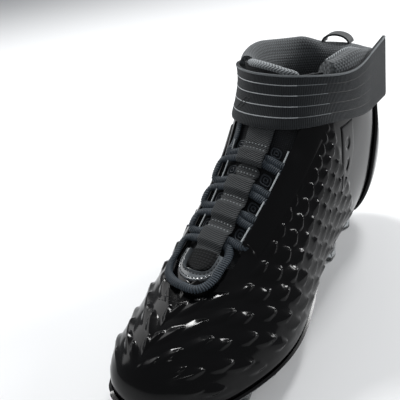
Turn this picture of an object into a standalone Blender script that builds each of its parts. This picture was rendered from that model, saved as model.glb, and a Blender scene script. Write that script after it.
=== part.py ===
"""American football cleat, the left shoe of a pair, standing empty on its studs.

Metres, +Z up. The toe points to -Y, the heel to +Y, the outer side of the foot to +X.
Every piece follows one last, a surface lofted through the sections of a short table.
A place on the last is a girth line, measured in metres from the toe tip, and a place
round it, from 0 under the sole over the outer side to 0.5 on top and back on the inner
side. The shaft pieces use horizontal sections of the same last, found by rays from an
upright axis inside the ankle.
"""

import math
from collections import namedtuple

import bmesh
import bpy
import numpy as np
from mathutils import Vector
from mathutils.bvhtree import BVHTree

# Last
LAST_LENGTH = 0.304
BALL_WIDTH = 0.103
SHAFT_WIDTH = 0.088
SOLE_HEIGHT = 0.0165
HEEL_RISE = 0.0085
SHAFT_HEIGHT = 0.1715

# Clearances between neighbouring curved pieces
SEAT_GAP = 0.0003
LAYER_GAP = 0.0005
LINING_GAP = 0.0007

# Upper and its openings
UPPER_WALL = 0.0020
LASTING_MARGIN = 0.014
THROAT_WIDTH = 0.044
THROAT_SPREAD = 0.010
THROAT_DRIFT = 0.004
THROAT_ROUND = 0.009
THROAT_MOST_SHARE = 0.31
THROAT_SQUARENESS = 2.4
COLLAR_FRONT_HEIGHT = SOLE_HEIGHT + 0.8192 * SHAFT_HEIGHT
COLLAR_BACK_HEIGHT = SOLE_HEIGHT + 0.7551 * SHAFT_HEIGHT
COLLAR_TILT = 0.004
COLLAR_DROP_START = 0.22
COLLAR_DROP_REACH = 0.26

# Sole plate and insole
PLATE_THICKNESS = 0.0026
RIM_THICKNESS = 0.0017
RIM_HEIGHT = 0.0075
INSOLE_THICKNESS = 0.0040

# Studs
STUD_TIP_SHARE = 0.62
FORE_STUD_LENGTH = 0.017
FORE_STUD_WIDTH = 0.011
HEEL_STUD_LENGTH = 0.019
HEEL_STUD_WIDTH = 0.012
TOE_STUD_LENGTH = 0.012
TOE_STUD_WIDTH = 0.009

# Tongue, ribbon and laces
TONGUE_THICKNESS = 0.0050
TONGUE_OVERLAP = 0.006
TONGUE_TOP_HEIGHT = SOLE_HEIGHT + 0.9009 * SHAFT_HEIGHT
TONGUE_TOP_DROP = 0.006
TONGUE_ROLL = 0.0025
RIBBON_WIDTH = 0.0185
RIBBON_THICKNESS = 0.0014
LACE_THICKNESS = 0.0042
LACE_PAIR_SPACING = 0.0052
PULL_TAB_LENGTH = 0.0125
PULL_TAB_WIDTH = 0.0195
PULL_TAB_THICKNESS = 0.0014
PULL_TAB_END_ANGLE = 0.2

# Overlays on the upper
EYESTAY_WIDTH = 0.0062
EYESTAY_STEP = 0.0018
EYESTAY_THICKNESS = 0.0014
EYESTAY_MARGIN = 0.0012
EYESTAY_NOTCH = 0.0004
THROAT_TAB_THICKNESS = 0.0016
COUNTER_THICKNESS = 0.0018
COUNTER_TOP_HEIGHT = SOLE_HEIGHT + 0.5685 * SHAFT_HEIGHT
COUNTER_LOW_SPAN = 78
COUNTER_TOP_SPAN = 52
COUNTER_CROWDING = 1.3

# Collar, strap and pull loop
PAD_DEPTH = 0.034
PAD_THICKNESS = 0.0080
PAD_ROLL = 0.0060
PAD_CROWN = 0.65
STRAP_THICKNESS = 0.0022
STRAP_TAIL = 0.030
PULL_LOOP_WIDTH = 0.009
PULL_LOOP_SPAN = 0.024
PULL_LOOP_HEIGHT = 0.0075
PULL_LOOP_THICKNESS = 0.0016

Section = namedtuple(
    "Section",
    "name low_along low_lift low_up top_along top_up width outer inner shift belly low_round top_round",
)

# Sections of the last from the toe to the collar. Each stands on the bottom or heel
# line and leans to the top line. Along: shares of LAST_LENGTH from mid length. Lift and
# up: shares of HEEL_RISE and SHAFT_HEIGHT. Outer, inner, shift: shares of the width
# named in the row. Belly: where the section is widest, from low 0 to top 1.
SECTIONS = [
    Section("tip", -0.493, 0.0, 0.090, -0.493, 0.090, BALL_WIDTH, 0.0, 0.0, -0.039, 0.34, 2.6, 2.2),
    Section("toe_edge", -0.482, 0.0, 0.058, -0.484, 0.166, BALL_WIDTH, 0.146, 0.146, -0.039, 0.34, 2.8, 2.2),
    Section("toe", -0.454, 0.0, 0.035, -0.457, 0.216, BALL_WIDTH, 0.272, 0.252, -0.034, 0.34, 3.2, 2.25),
    Section("toe_box", -0.411, 0.0, 0.018, -0.415, 0.251, BALL_WIDTH, 0.379, 0.330, -0.029, 0.33, 3.6, 2.2),
    Section("toe_root", -0.349, 0.0, 0.006, -0.349, 0.283, BALL_WIDTH, 0.456, 0.388, -0.019, 0.32, 4.0, 2.1),
    Section("fore_ball", -0.270, 0.0, 0.0, -0.270, 0.324, BALL_WIDTH, 0.515, 0.447, -0.010, 0.31, 4.2, 2.0),
    Section("ball", -0.181, 0.0, 0.0, -0.184, 0.382, BALL_WIDTH, 0.524, 0.476, 0.0, 0.30, 4.2, 2.05),
    Section("fore_waist", -0.086, 0.24, 0.0, -0.102, 0.458, BALL_WIDTH, 0.485, 0.466, 0.0, 0.31, 4.0, 2.15),
    Section("waist", 0.013, 0.59, 0.0, -0.026, 0.545, SHAFT_WIDTH, 0.511, 0.511, 0.0, 0.38, 3.6, 2.25),
    Section("arch", 0.118, 0.88, 0.0, 0.030, 0.627, SHAFT_WIDTH, 0.489, 0.489, 0.0, 0.48, 3.4, 2.35),
    Section("fore_heel", 0.230, 1.0, 0.0, 0.063, 0.697, SHAFT_WIDTH, 0.489, 0.489, 0.0, 0.52, 3.2, 2.4),
    Section("heel", 0.345, 1.0, 0.0, 0.086, 0.761, SHAFT_WIDTH, 0.489, 0.489, 0.0, 0.54, 2.9, 2.4),
    Section("heel_corner", 0.451, 1.0, 0.023, 0.099, 0.813, SHAFT_WIDTH, 0.489, 0.489, 0.0, 0.54, 2.5, 2.4),
    Section("heel_back", 0.507, 1.0, 0.157, 0.109, 0.860, SHAFT_WIDTH, 0.489, 0.489, 0.0, 0.52, 2.3, 2.4),
    Section("achilles", 0.493, 1.0, 0.367, 0.118, 0.907, SHAFT_WIDTH, 0.489, 0.489, 0.0, 0.51, 2.2, 2.4),
    Section("cuff", 0.490, 1.0, 0.566, 0.125, 0.953, SHAFT_WIDTH, 0.500, 0.511, 0.0, 0.50, 2.2, 2.4),
    Section("top", 0.500, 1.0, 0.776, 0.132, 1.0, SHAFT_WIDTH, 0.511, 0.523, 0.0, 0.50, 2.2, 2.4),
]
MIRRORED_SECTIONS = 4

LaceRow = namedtuple("LaceRow", "name along")

# Lace crossings up the throat: places on the top line, as shares of LAST_LENGTH.
LACE_ROWS = [
    LaceRow("lace_row_1", -0.160),
    LaceRow("lace_row_2", -0.105),
    LaceRow("lace_row_3", -0.052),
    LaceRow("lace_row_4", 0.005),
]
THROAT_START = -0.214
THROAT_TOP = 0.075
RIBBON_LOW_START = -0.183
RIBBON_LOW_END = -0.036
RIBBON_HIGH_START = -0.010
RIBBON_HIGH_END = 0.070
PULL_TAB_PLACE = -0.0220
LACE_LOOP_REACH = -0.290
THROAT_TAB_REACH = -0.262

Stud = namedtuple("Stud", "name station around length width turn")

# Studs: station between sections, place round the last, blade size and turn in degrees.
STUDS = [
    Stud("stud_toe", 2.55, 0.0, TOE_STUD_LENGTH, TOE_STUD_WIDTH, 90),
    Stud("stud_outer_1", 3.50, 0.118, FORE_STUD_LENGTH, FORE_STUD_WIDTH, 24),
    Stud("stud_outer_2", 4.60, 0.134, FORE_STUD_LENGTH, FORE_STUD_WIDTH, 12),
    Stud("stud_outer_3", 5.65, 0.140, FORE_STUD_LENGTH, FORE_STUD_WIDTH, 2),
    Stud("stud_outer_4", 6.75, 0.126, FORE_STUD_LENGTH, FORE_STUD_WIDTH, -10),
    Stud("stud_inner_1", 3.50, -0.110, FORE_STUD_LENGTH, FORE_STUD_WIDTH, -24),
    Stud("stud_inner_2", 4.60, -0.130, FORE_STUD_LENGTH, FORE_STUD_WIDTH, -12),
    Stud("stud_inner_3", 5.65, -0.138, FORE_STUD_LENGTH, FORE_STUD_WIDTH, -4),
    Stud("stud_inner_4", 6.75, -0.124, FORE_STUD_LENGTH, FORE_STUD_WIDTH, 8),
    Stud("stud_heel_outer_1", 9.85, 0.056, HEEL_STUD_LENGTH, HEEL_STUD_WIDTH, 4),
    Stud("stud_heel_outer_2", 11.15, 0.030, HEEL_STUD_LENGTH, HEEL_STUD_WIDTH, -20),
    Stud("stud_heel_inner_1", 9.85, -0.056, HEEL_STUD_LENGTH, HEEL_STUD_WIDTH, -4),
    Stud("stud_heel_inner_2", 11.15, -0.030, HEEL_STUD_LENGTH, HEEL_STUD_WIDTH, 20),
]

StrapStation = namedtuple("StrapStation", "name turn low high")

# Strap edges round the shaft: turn in degrees from the front, positive over the outer
# side, and heights above the ball's underside as shares of SHAFT_HEIGHT.
STRAP_STATIONS = [
    StrapStation("inner_back", -158, 0.580, 0.805),
    StrapStation("inner_side", -95, 0.610, 0.840),
    StrapStation("inner_front", -32, 0.672, 0.862),
    StrapStation("front", 0, 0.672, 0.858),
    StrapStation("outer_front", 35, 0.655, 0.838),
    StrapStation("outer_side", 70, 0.612, 0.815),
    StrapStation("outer_back", 100, 0.588, 0.838),
]
STRAP_TAIL_LOW = 0.596
STRAP_TAIL_HIGH = 0.862
STRAP_TAIL_SHARES = (0.33, 0.66, 1.0)
SHAFT_AXIS_ALONG = 0.28

# Collar pad: turn of its two ends from the front, in degrees.
PAD_OUTER_END = 52
PAD_INNER_END = -52

Finish = namedtuple("Finish", "colour roughness metallic")

FINISHES = {
    "coated_upper": Finish((0.012, 0.012, 0.014), 0.22, 0.0),
    "moulded_black": Finish((0.010, 0.010, 0.012), 0.18, 0.0),
    "clear_stud": Finish((0.55, 0.57, 0.58), 0.08, 0.0),
    "foam_sheet": Finish((0.05, 0.05, 0.055), 0.85, 0.0),
    "tongue_mesh": Finish((0.06, 0.065, 0.07), 0.80, 0.0),
    "collar_mesh": Finish((0.11, 0.115, 0.125), 0.85, 0.0),
    "webbing": Finish((0.10, 0.105, 0.11), 0.75, 0.0),
    "lace_braid": Finish((0.045, 0.06, 0.075), 0.70, 0.0),
    "elastic_strap": Finish((0.07, 0.075, 0.08), 0.80, 0.0),
}


def remove_everything():
    """Empty the file of its objects."""
    for existing in list(bpy.data.objects):
        bpy.data.objects.remove(existing, do_unlink=True)


def spline_bends(knots, values):
    """Second derivatives of the natural cubic spline through values."""
    count = len(knots)
    matrix = np.eye(count)
    right = np.zeros(values.shape)
    for i in range(1, count - 1):
        before = knots[i] - knots[i - 1]
        after = knots[i + 1] - knots[i]
        matrix[i, i - 1 : i + 2] = before / 6, (before + after) / 3, after / 6
        right[i] = (values[i + 1] - values[i]) / after - (values[i] - values[i - 1]) / before
    return np.linalg.solve(matrix, right)


def spline_at(knots, values, bends, place):
    """Value of the spline at one place."""
    i = int(np.clip(np.searchsorted(knots, place) - 1, 0, len(knots) - 2))
    step = knots[i + 1] - knots[i]
    a = (knots[i + 1] - place) / step
    b = 1.0 - a
    straight = a * values[i] + b * values[i + 1]
    return straight + ((a**3 - a) * bends[i] + (b**3 - b) * bends[i + 1]) * step * step / 6


class Last:
    """The shoe's last, as a surface over a girth line and a place round it."""

    PROFILE_STEPS = 64

    def __init__(self, sections):
        rows = np.array([self.row_values(section) for section in sections])
        mirrored = rows[1 : MIRRORED_SECTIONS + 1][::-1].copy()
        mirrored[:, 0:4] = mirrored[:, [2, 3, 0, 1]]
        mirrored[:, 4:6] *= -1.0
        self.rows = np.vstack([mirrored, rows])
        low_steps = np.hypot(*np.diff(self.rows[:, 0:2], axis=0).T)
        top_steps = np.hypot(*np.diff(self.rows[:, 2:4], axis=0).T)
        self.knots = np.concatenate([[0.0], np.cumsum((low_steps + top_steps) / 2)])
        self.knots -= self.knots[MIRRORED_SECTIONS]
        self.bends = spline_bends(self.knots, self.rows)
        self.stations = self.knots[MIRRORED_SECTIONS:]
        self.end = self.stations[-1]
        self.lines = np.linspace(0.0, self.end, 400)
        self.tops = [spline_at(self.knots, self.rows, self.bends, line)[2] for line in self.lines]

    @staticmethod
    def row_values(section):
        """Lengths of one section: ends of its lean, half widths, shift and shape."""
        low_z = SOLE_HEIGHT + section.low_lift * HEEL_RISE + section.low_up * SHAFT_HEIGHT
        top_z = SOLE_HEIGHT + section.top_up * SHAFT_HEIGHT
        return [
            section.low_along * LAST_LENGTH,
            low_z,
            section.top_along * LAST_LENGTH,
            top_z,
            section.outer * section.width,
            section.inner * section.width,
            section.shift * section.width,
            section.belly,
            section.low_round,
            section.top_round,
        ]

    def girth(self, station):
        """Girth line at a section number, with shares between sections."""
        return float(np.interp(station, range(len(self.stations)), self.stations))

    def girth_along_top(self, along):
        """Girth line whose top end lies at a share of the last's length."""
        return float(np.interp(along * LAST_LENGTH, self.tops, self.lines))

    def side_profile(self, values, half_width):
        """Places round one side, from low to top, with their offset and height share."""
        low_y, low_z, top_y, top_z = values[0:4]
        belly, low_round, top_round = values[7:10]
        angles = np.linspace(0.0, math.pi / 2, self.PROFILE_STEPS)
        sines = np.abs(np.sin(angles))
        cosines = np.abs(np.cos(angles))
        lean = math.hypot(top_y - low_y, top_z - low_z)
        quarters = (
            (half_width * sines ** (2 / low_round), belly * (1 - cosines ** (2 / low_round))),
            (half_width * cosines ** (2 / top_round), belly + (1 - belly) * sines ** (2 / top_round)),
        )
        places, offsets, heights = [], [], []
        for number, (offset, height) in enumerate(quarters):
            lengths = np.hypot(np.diff(offset), np.diff(height) * lean)
            run = np.concatenate([[0.0], np.cumsum(lengths)])
            share = run / run[-1] if run[-1] > 0 else np.linspace(0, 1, len(run))
            places.append(0.25 * (number + share))
            offsets.append(offset)
            heights.append(height)
        return np.concatenate(places), np.concatenate(offsets), np.concatenate(heights)

    def ring(self, line, around):
        """Points of the last at one girth line and several places round it."""
        values = spline_at(self.knots, self.rows, self.bends, line)
        around = np.mod(np.asarray(around, dtype=float), 1.0)
        outer = around <= 0.5
        fold = np.where(outer, around, 1.0 - around)
        sides = [self.side_profile(values, values[4]), self.side_profile(values, values[5])]
        offset = np.where(
            outer,
            np.interp(fold, sides[0][0], sides[0][1]),
            -np.interp(fold, sides[1][0], sides[1][1]),
        )
        height = np.where(
            outer, np.interp(fold, sides[0][0], sides[0][2]), np.interp(fold, sides[1][0], sides[1][2])
        )
        low_y, low_z, top_y, top_z = values[0:4]
        columns = [
            values[6] + offset,
            low_y + (top_y - low_y) * height,
            low_z + (top_z - low_z) * height,
        ]
        return np.stack(columns, axis=-1)

    def point(self, line, around):
        """One point of the last."""
        return self.ring(line, [around])[0]

    def normal(self, line, around):
        """Outward direction of the last at one place."""
        step_line, step_around = 0.0006, 0.004
        along = self.point(line + step_line, around) - self.point(line - step_line, around)
        sides = self.ring(line, [around - step_around, around + step_around])
        outward = np.cross(along, sides[1] - sides[0])
        return outward / np.linalg.norm(outward)

    def raised(self, line, around, depth):
        """Point at a depth outside the last, negative inside."""
        return self.point(line, around) + depth * self.normal(line, around)

    def around_at_x(self, line, x):
        """Place round the upper part of a girth line where it crosses x."""
        places = np.linspace(0.22, 0.78, 225)
        across = self.ring(line, places)[:, 0]
        return float(np.interp(-x, -across, places))

    def around_at_height(self, line, height):
        """Place round the outer lower part of a girth line at a height."""
        places = np.linspace(0.0, 0.25, 65)
        return float(np.interp(height, self.ring(line, places)[:, 2], places))


def loft_faces(rows, columns, wrap, skipped):
    """Quads between neighbouring rows and columns, turned outwards."""
    faces = []
    for i in range(rows - 1):
        for j in range(columns if wrap else columns - 1):
            if (i, j) not in skipped:
                k = (j + 1) % columns
                faces.append((i * columns + j, (i + 1) * columns + j, (i + 1) * columns + k, i * columns + k))
    return faces


def finish_material(name):
    """Principled material of one of the finishes."""
    material = bpy.data.materials.get(name)
    if material is None:
        material = bpy.data.materials.new(name)
        material.use_nodes = True
        shader = material.node_tree.nodes["Principled BSDF"]
        shader.inputs["Base Color"].default_value = (*FINISHES[name].colour, 1.0)
        shader.inputs["Roughness"].default_value = FINISHES[name].roughness
        shader.inputs["Metallic"].default_value = FINISHES[name].metallic
    return material


def add_part(name, points, faces, finish, smooth=40.0):
    """Object from points and faces, with coincident points merged and loose ones gone."""
    mesh = bpy.data.meshes.new(name)
    mesh.from_pydata([tuple(point) for point in points], [], faces)
    edit = bmesh.new()
    edit.from_mesh(mesh)
    bmesh.ops.remove_doubles(edit, verts=edit.verts, dist=1e-6)
    loose = [vert for vert in edit.verts if not vert.link_faces]
    bmesh.ops.delete(edit, geom=loose, context="VERTS")
    edit.to_mesh(mesh)
    edit.free()
    mesh.shade_smooth()
    mesh.set_sharp_from_angle(angle=math.radians(smooth))
    mesh.materials.append(finish_material(finish))
    part = bpy.data.objects.new(name, mesh)
    CLEAT.objects.link(part)
    return part


def add_shell(name, skin, thickness, outward, finish, wrap=False, skipped=frozenset()):
    """Open skin from a grid of points, given its thickness by Solidify."""
    rows, columns = skin.shape[0:2]
    faces = loft_faces(rows, columns, wrap, skipped)
    part = add_part(name, skin.reshape(-1, 3), faces, finish)
    solidify = part.modifiers.new("wall", "SOLIDIFY")
    solidify.thickness = thickness
    solidify.offset = 1.0 if outward else -1.0
    solidify.use_even_offset = False
    return part


def add_slab(name, low_skin, high_skin, finish):
    """Closed piece between two skins of the same grid."""
    rows, columns = low_skin.shape[0:2]
    count = rows * columns
    faces = loft_faces(rows, columns, False, frozenset())
    low_faces = [tuple(reversed(face)) for face in faces]
    high_faces = [tuple(index + count for index in face) for face in faces]
    rim = [(0, j) for j in range(columns)]
    rim += [(i, columns - 1) for i in range(1, rows)]
    rim += [(rows - 1, j) for j in range(columns - 2, -1, -1)]
    rim += [(i, 0) for i in range(rows - 2, 0, -1)]
    border = [i * columns + j for i, j in rim]
    walls = []
    for here, there in zip(border, border[1:] + border[:1]):
        walls.append((here, here + count, there + count, there))
    points = np.concatenate([low_skin.reshape(-1, 3), high_skin.reshape(-1, 3)])
    return add_part(name, points, low_faces + high_faces + walls, finish)


def add_loop_loft(name, rings, finish, pointed=False):
    """Closed piece lofted through rings of points, with flat ends or a last point."""
    rows, columns = rings.shape[0:2]
    faces = loft_faces(rows, columns, True, frozenset())
    faces.append(tuple(range(columns)))
    if not pointed:
        faces.append(tuple((rows - 1) * columns + j for j in reversed(range(columns))))
    return add_part(name, rings.reshape(-1, 3), faces, finish)


def throat_progress(line):
    """Share of the way up the throat, from its toe end to the collar."""
    start, top = LAST.girth_along_top(THROAT_START), LAST.girth_along_top(THROAT_TOP)
    return float(np.clip((line - start) / (top - start), 0.0, 1.0))


def throat_centre(line):
    """Sideways place of the throat's middle."""
    return -THROAT_DRIFT * (1.0 - throat_progress(line))


def throat_half(line):
    """Half width of the throat, limited near the toe by the last itself."""
    wanted = (THROAT_WIDTH + THROAT_SPREAD * throat_progress(line)) / 2
    places = LAST.ring(line, [0.25, 0.75])
    return min(wanted, THROAT_MOST_SHARE * (places[0, 0] - places[1, 0]))


def throat_edge(line, side):
    """Place round the last of one throat edge, side 1 for outer and -1 for inner."""
    return LAST.around_at_x(line, throat_centre(line) + side * throat_half(line))


def collar_height(point):
    """Height of the upper's top edge at a point of the last."""
    back = smooth_step((point[1] / LAST_LENGTH - COLLAR_DROP_START) / COLLAR_DROP_REACH)
    tilt = -COLLAR_TILT * point[0] / SHAFT_WIDTH
    return COLLAR_FRONT_HEIGHT + (COLLAR_BACK_HEIGHT - COLLAR_FRONT_HEIGHT) * back + tilt


def smooth_step(share):
    """Smooth rise from 0 to 1."""
    share = min(max(share, 0.0), 1.0)
    return share * share * (3.0 - 2.0 * share)


def bisect(low, high, is_past):
    """Place between low and high where is_past turns true."""
    for _ in range(30):
        middle = (low + high) / 2
        if is_past(middle):
            high = middle
        else:
            low = middle
    return (low + high) / 2


# Upper: splits of each section, column and strip shares, and where its openings start
UPPER_SPLITS = (1, 2, 2, 2, 2, 3, 3, 3, 2, 2, 2, 2, 2, 2, 2, 1)
SIDE_SHARES = (0.0, 0.13, 0.25, 0.31, 0.37, 0.43, 0.50, 0.58, 0.67, 0.76, 0.85, 0.93, 1.0)
HEEL_SIDE_SHARES = (0.0, 0.055, 0.11, 0.165, 0.23, 0.30, 0.38, 0.47, 0.57, 0.68, 0.79, 0.90, 1.0)
THROAT_SHARES = (0.66, 0.33, 0.0, -0.33, -0.66)
BOTTOM_SHARES = (-0.6, -0.2, 0.2, 0.6)
BACK_STRIP_PLACE = 0.052
MARGIN_START, MARGIN_END = 3.0, 11.5
TRIM_STATION = 10.0
TIP_STATION = 0.04
THROAT_ROUND_RUN = 4


def margin_place(line):
    """Place round the last where the sole opening ends on the outer side."""
    rim = plate_edge(line)
    under = LAST.ring(line, np.linspace(0.0, rim, 12))
    reach = np.linalg.norm(np.diff(under, axis=0), axis=1).sum()
    kept = 1.0 - (LASTING_MARGIN + RIM_HEIGHT) / max(reach, LASTING_MARGIN + RIM_HEIGHT)
    return max(rim * kept, BACK_STRIP_PLACE)


def side_share(number, line):
    """Share of one side column, close together where the sole's edge turns up."""
    heel = smooth_step((line - LAST.girth(6)) / (LAST.girth(10) - LAST.girth(6)))
    return SIDE_SHARES[number] + (HEEL_SIDE_SHARES[number] - SIDE_SHARES[number]) * heel


def upper_place(column, line):
    """Place round the last of one column of the upper's grid at a girth line."""
    sides = len(SIDE_SHARES)
    middle = len(THROAT_SHARES)
    edge = margin_place(line)
    if column < sides:
        return edge + (throat_edge(line, 1) - edge) * side_share(column, line)
    if column < sides + middle:
        x = throat_centre(line) + throat_half(line) * THROAT_SHARES[column - sides]
        return LAST.around_at_x(line, x)
    if column < 2 * sides + middle:
        share = side_share(2 * sides + middle - 1 - column, line)
        inner_edge = 1.0 - edge
        return inner_edge + (throat_edge(line, -1) - inner_edge) * share
    return edge * BOTTOM_SHARES[column - 2 * sides - middle]


def upper_lines():
    """Girth lines of the upper's grid, with the numbers of those that bound openings."""
    stations = [0.0]
    for section, splits in enumerate(UPPER_SPLITS):
        stations += [section + (k + 1) / splits for k in range(splits)]
    stations[0] = TIP_STATION
    lines = [LAST.girth(station) for station in stations]
    throat_start = LAST.girth_along_top(THROAT_START)
    throat_row = int(np.argmin(np.abs(np.array(lines) - throat_start)))
    lines[throat_row] = throat_start
    margin_rows = [stations.index(MARGIN_START), stations.index(MARGIN_END)]
    return lines, throat_row, margin_rows


def build_upper():
    """Upper: one wall from toe to collar, open at throat, collar and underneath."""
    lines, throat_row, margin_rows = upper_lines()
    sides, middle = len(SIDE_SHARES), len(THROAT_SHARES)
    columns = 2 * sides + middle + len(BOTTOM_SHARES)
    trim_line = LAST.girth(TRIM_STATION)
    round_line = LAST.girth_along_top(THROAT_START) - THROAT_ROUND_RUN * THROAT_ROUND
    skin = np.zeros((len(lines), columns, 3))
    for column in range(columns):

        def above_collar(line, column=column):
            point = LAST.point(line, upper_place(column, line))
            return point[2] > collar_height(point)

        collar_line = bisect(trim_line, LAST.end, above_collar)
        in_throat = sides <= column < sides + middle
        across = THROAT_SHARES[column - sides] if in_throat else 1.0
        bow = THROAT_ROUND * (1 - abs(across) ** THROAT_SQUARENESS)
        for row, line in enumerate(lines):
            if line > trim_line:
                share = (line - trim_line) / (lines[-1] - trim_line)
                line = trim_line + (collar_line - trim_line) * share
            elif in_throat and round_line < line <= lines[throat_row]:
                line -= bow * (line - round_line) / (lines[throat_row] - round_line)
            skin[row, column] = LAST.point(line, upper_place(column, line))
    tip = LAST.point(0.0, 0.0)
    skin = np.concatenate([np.broadcast_to(tip, (1, columns, 3)), skin])
    throat_row, margin_rows = throat_row + 1, [row + 1 for row in margin_rows]
    skipped = set()
    for row in range(skin.shape[0] - 1):
        if row >= throat_row:
            skipped.update((row, column) for column in range(sides - 1, sides + middle))
        if margin_rows[0] <= row < margin_rows[1]:
            skipped.update((row, column) for column in range(columns - len(BOTTOM_SHARES) - 1, columns))
    return add_shell("upper", skin, UPPER_WALL, False, "coated_upper", True, skipped)


# Sole plate: shares of the way to its rim's edge, the share where the rim steps down
PLATE_SHARES = (0.0, 0.36, 0.62, 0.76, 0.88, 0.895, 1.0)
RIM_SHARE = 0.89
PLATE_LINES = 27
PLATE_TIP_LINE = 0.0008
PLATE_END_TRIM = 0.0002


def plate_edge(line):
    """Place round the last where the plate's rim ends, on the outer side."""
    underside = LAST.point(line, 0.0)[2]
    if line > LAST.girth(8):
        underside = min(underside, SOLE_HEIGHT + HEEL_RISE)
    return LAST.around_at_height(line, underside + RIM_HEIGHT)


def plate_end():
    """Girth line where the rim meets the heel's back line."""
    top = SOLE_HEIGHT + HEEL_RISE + RIM_HEIGHT
    return bisect(LAST.girth(11), LAST.girth(14), lambda line: LAST.point(line, 0.0)[2] > top)


def build_outsole():
    """Sole plate: a dish under the last with a stepped rim that laps the upper."""
    shares = [-share for share in reversed(PLATE_SHARES[1:])] + list(PLATE_SHARES)
    angles = np.linspace(0.0, math.pi, PLATE_LINES)
    end = plate_end()
    lines = end * (1 - np.cos(angles)) / 2
    inside = np.zeros((PLATE_LINES, len(shares), 3))
    outside = np.zeros_like(inside)
    for row, line in enumerate(lines):
        line = min(max(line, PLATE_TIP_LINE), end - PLATE_END_TRIM)
        for column, share in enumerate(shares):
            around = share * plate_edge(line)
            thickness = RIM_THICKNESS if abs(share) > RIM_SHARE else PLATE_THICKNESS
            inside[row, column] = LAST.raised(line, around, LINING_GAP)
            outside[row, column] = LAST.raised(line, around, LINING_GAP + thickness)
    return add_slab("outsole", inside, outside, "moulded_black")


# Insole: its end stations, share of the plate's width, and rows and columns
INSOLE_STATIONS = (1.5, 11.8)
INSOLE_SHARE = 0.84
INSOLE_ROWS, INSOLE_COLUMNS = 18, 8


def build_insole():
    """Insole: a sheet on the lasting margin, inside the upper."""
    depth = -(UPPER_WALL + LINING_GAP)
    shares = np.linspace(-INSOLE_SHARE, INSOLE_SHARE, INSOLE_COLUMNS)
    skin = []
    for station in np.linspace(*INSOLE_STATIONS, INSOLE_ROWS):
        line = LAST.girth(station)
        places = shares * plate_edge(line)
        skin.append([LAST.raised(line, place, depth) for place in places])
    return add_shell("insole", np.array(skin), INSOLE_THICKNESS, False, "foam_sheet")


# Rings of a stud from its tip up to the plate and in to its middle: size and level.
STUD_RINGS = ((STUD_TIP_SHARE, 0.0), (0.72, 0.45), (1.0, 1.0), (0.5, 1.0), (0.0, 1.0))
# Corners of a stud's outline: cut by this angle, and reach before clipping to its box.
STUD_CORNER_CUT = 0.35
STUD_CORNER_REACH = 1.32


def build_studs(outsole):
    """Studs: tapered blades that follow the plate above and share one plane below."""
    points = [tuple(vertex.co) for vertex in outsole.data.vertices]
    plate = BVHTree.FromPolygons(points, [tuple(face.vertices) for face in outsole.data.polygons])
    outline = []
    for corner in range(4):
        angle = math.radians(45 - 90 * corner)
        for cut in (STUD_CORNER_CUT, -STUD_CORNER_CUT):
            outline.append((math.sin(angle + cut), math.cos(angle + cut)))
    outline = np.clip(STUD_CORNER_REACH * np.array(outline), -1.0, 1.0)[::-1]
    for stud in STUDS:
        x, y = LAST.point(LAST.girth(stud.station), stud.around)[0:2]
        turn = math.radians(stud.turn)
        rings = []
        for share, level in STUD_RINGS:
            ring = []
            for across, along in outline:
                local_x = across * stud.width / 2 * share
                local_y = along * stud.length / 2 * share
                place_x = x + local_x * math.cos(turn) - local_y * math.sin(turn)
                place_y = y + local_x * math.sin(turn) + local_y * math.cos(turn)
                hit = plate.ray_cast(Vector((place_x, place_y, 0.0)), Vector((0.0, 0.0, 1.0)))[0]
                ring.append((place_x, place_y, (hit.z - SEAT_GAP) * level))
            rings.append(ring)
        add_loop_loft(stud.name, np.array(rings), "clear_stud", pointed=True)


# Tongue: rows and columns, rows in its top roll, and thickness share along its edges
TONGUE_ROWS, TONGUE_COLUMNS = 18, 9
TONGUE_ROLL_ROWS = 3
TONGUE_EDGE_SHARE = 0.45


def tongue_face_depth():
    """Depth of the tongue's outer face below the last."""
    return -(UPPER_WALL + LINING_GAP + SEAT_GAP)


def build_tongue():
    """Tongue: a padded leaf inside the throat, a little thicker along its top edge."""
    start = LAST.girth_along_top(THROAT_START) - THROAT_ROUND - TONGUE_OVERLAP
    shares = np.linspace(1.0, -1.0, TONGUE_COLUMNS)
    high = np.zeros((TONGUE_ROWS, TONGUE_COLUMNS, 3))
    low = np.zeros_like(high)
    depth = tongue_face_depth()
    for column, share in enumerate(shares):

        def place(line, share=share):
            half = throat_half(line) + TONGUE_OVERLAP
            return LAST.around_at_x(line, throat_centre(line) + share * half)

        top = TONGUE_TOP_HEIGHT - TONGUE_TOP_DROP * share * share
        end = bisect(LAST.girth(9), LAST.end, lambda line: LAST.point(line, place(line))[2] > top)
        taper = TONGUE_EDGE_SHARE if abs(share) == 1.0 else 1.0
        for row in range(TONGUE_ROWS):
            line = start + (end - start) * row / (TONGUE_ROWS - 1)
            from_top = min(1.0, (TONGUE_ROWS - 1 - row) / TONGUE_ROLL_ROWS)
            thickness = TONGUE_THICKNESS * taper + TONGUE_ROLL * math.sin(math.pi * from_top)
            high[row, column] = LAST.raised(line, place(line), depth)
            low[row, column] = LAST.raised(line, place(line), depth - thickness)
    add_slab("tongue", low, high, "tongue_mesh")


def lace_lines():
    """Girth lines of the lace crossings."""
    return [LAST.girth_along_top(row.along) for row in LACE_ROWS]


# Ribbon over a lace pair: how far it clears the strands, and where its flanks fall, as
# shares of the hump's reach; and the length of one row of its grid.
HUMP_MARGIN = 0.0028
HUMP_FLANK_START = 0.66
HUMP_FLANK_SHARE = 0.55
RIBBON_ROW = 0.0024


def ribbon_depth(line, crossings):
    """Depth of the ribbon's lower face: on the tongue, and over each lace pair."""
    hump = LACE_THICKNESS + SEAT_GAP
    reach = LACE_PAIR_SPACING / 2 + LACE_THICKNESS / 2 + HUMP_MARGIN
    rise = 0.0
    for crossing in crossings:
        away = abs(line - crossing) / reach
        rise = max(rise, 1.0 - smooth_step((away - HUMP_FLANK_START) / HUMP_FLANK_SHARE))
    return tongue_face_depth() + LINING_GAP + hump * rise


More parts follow.
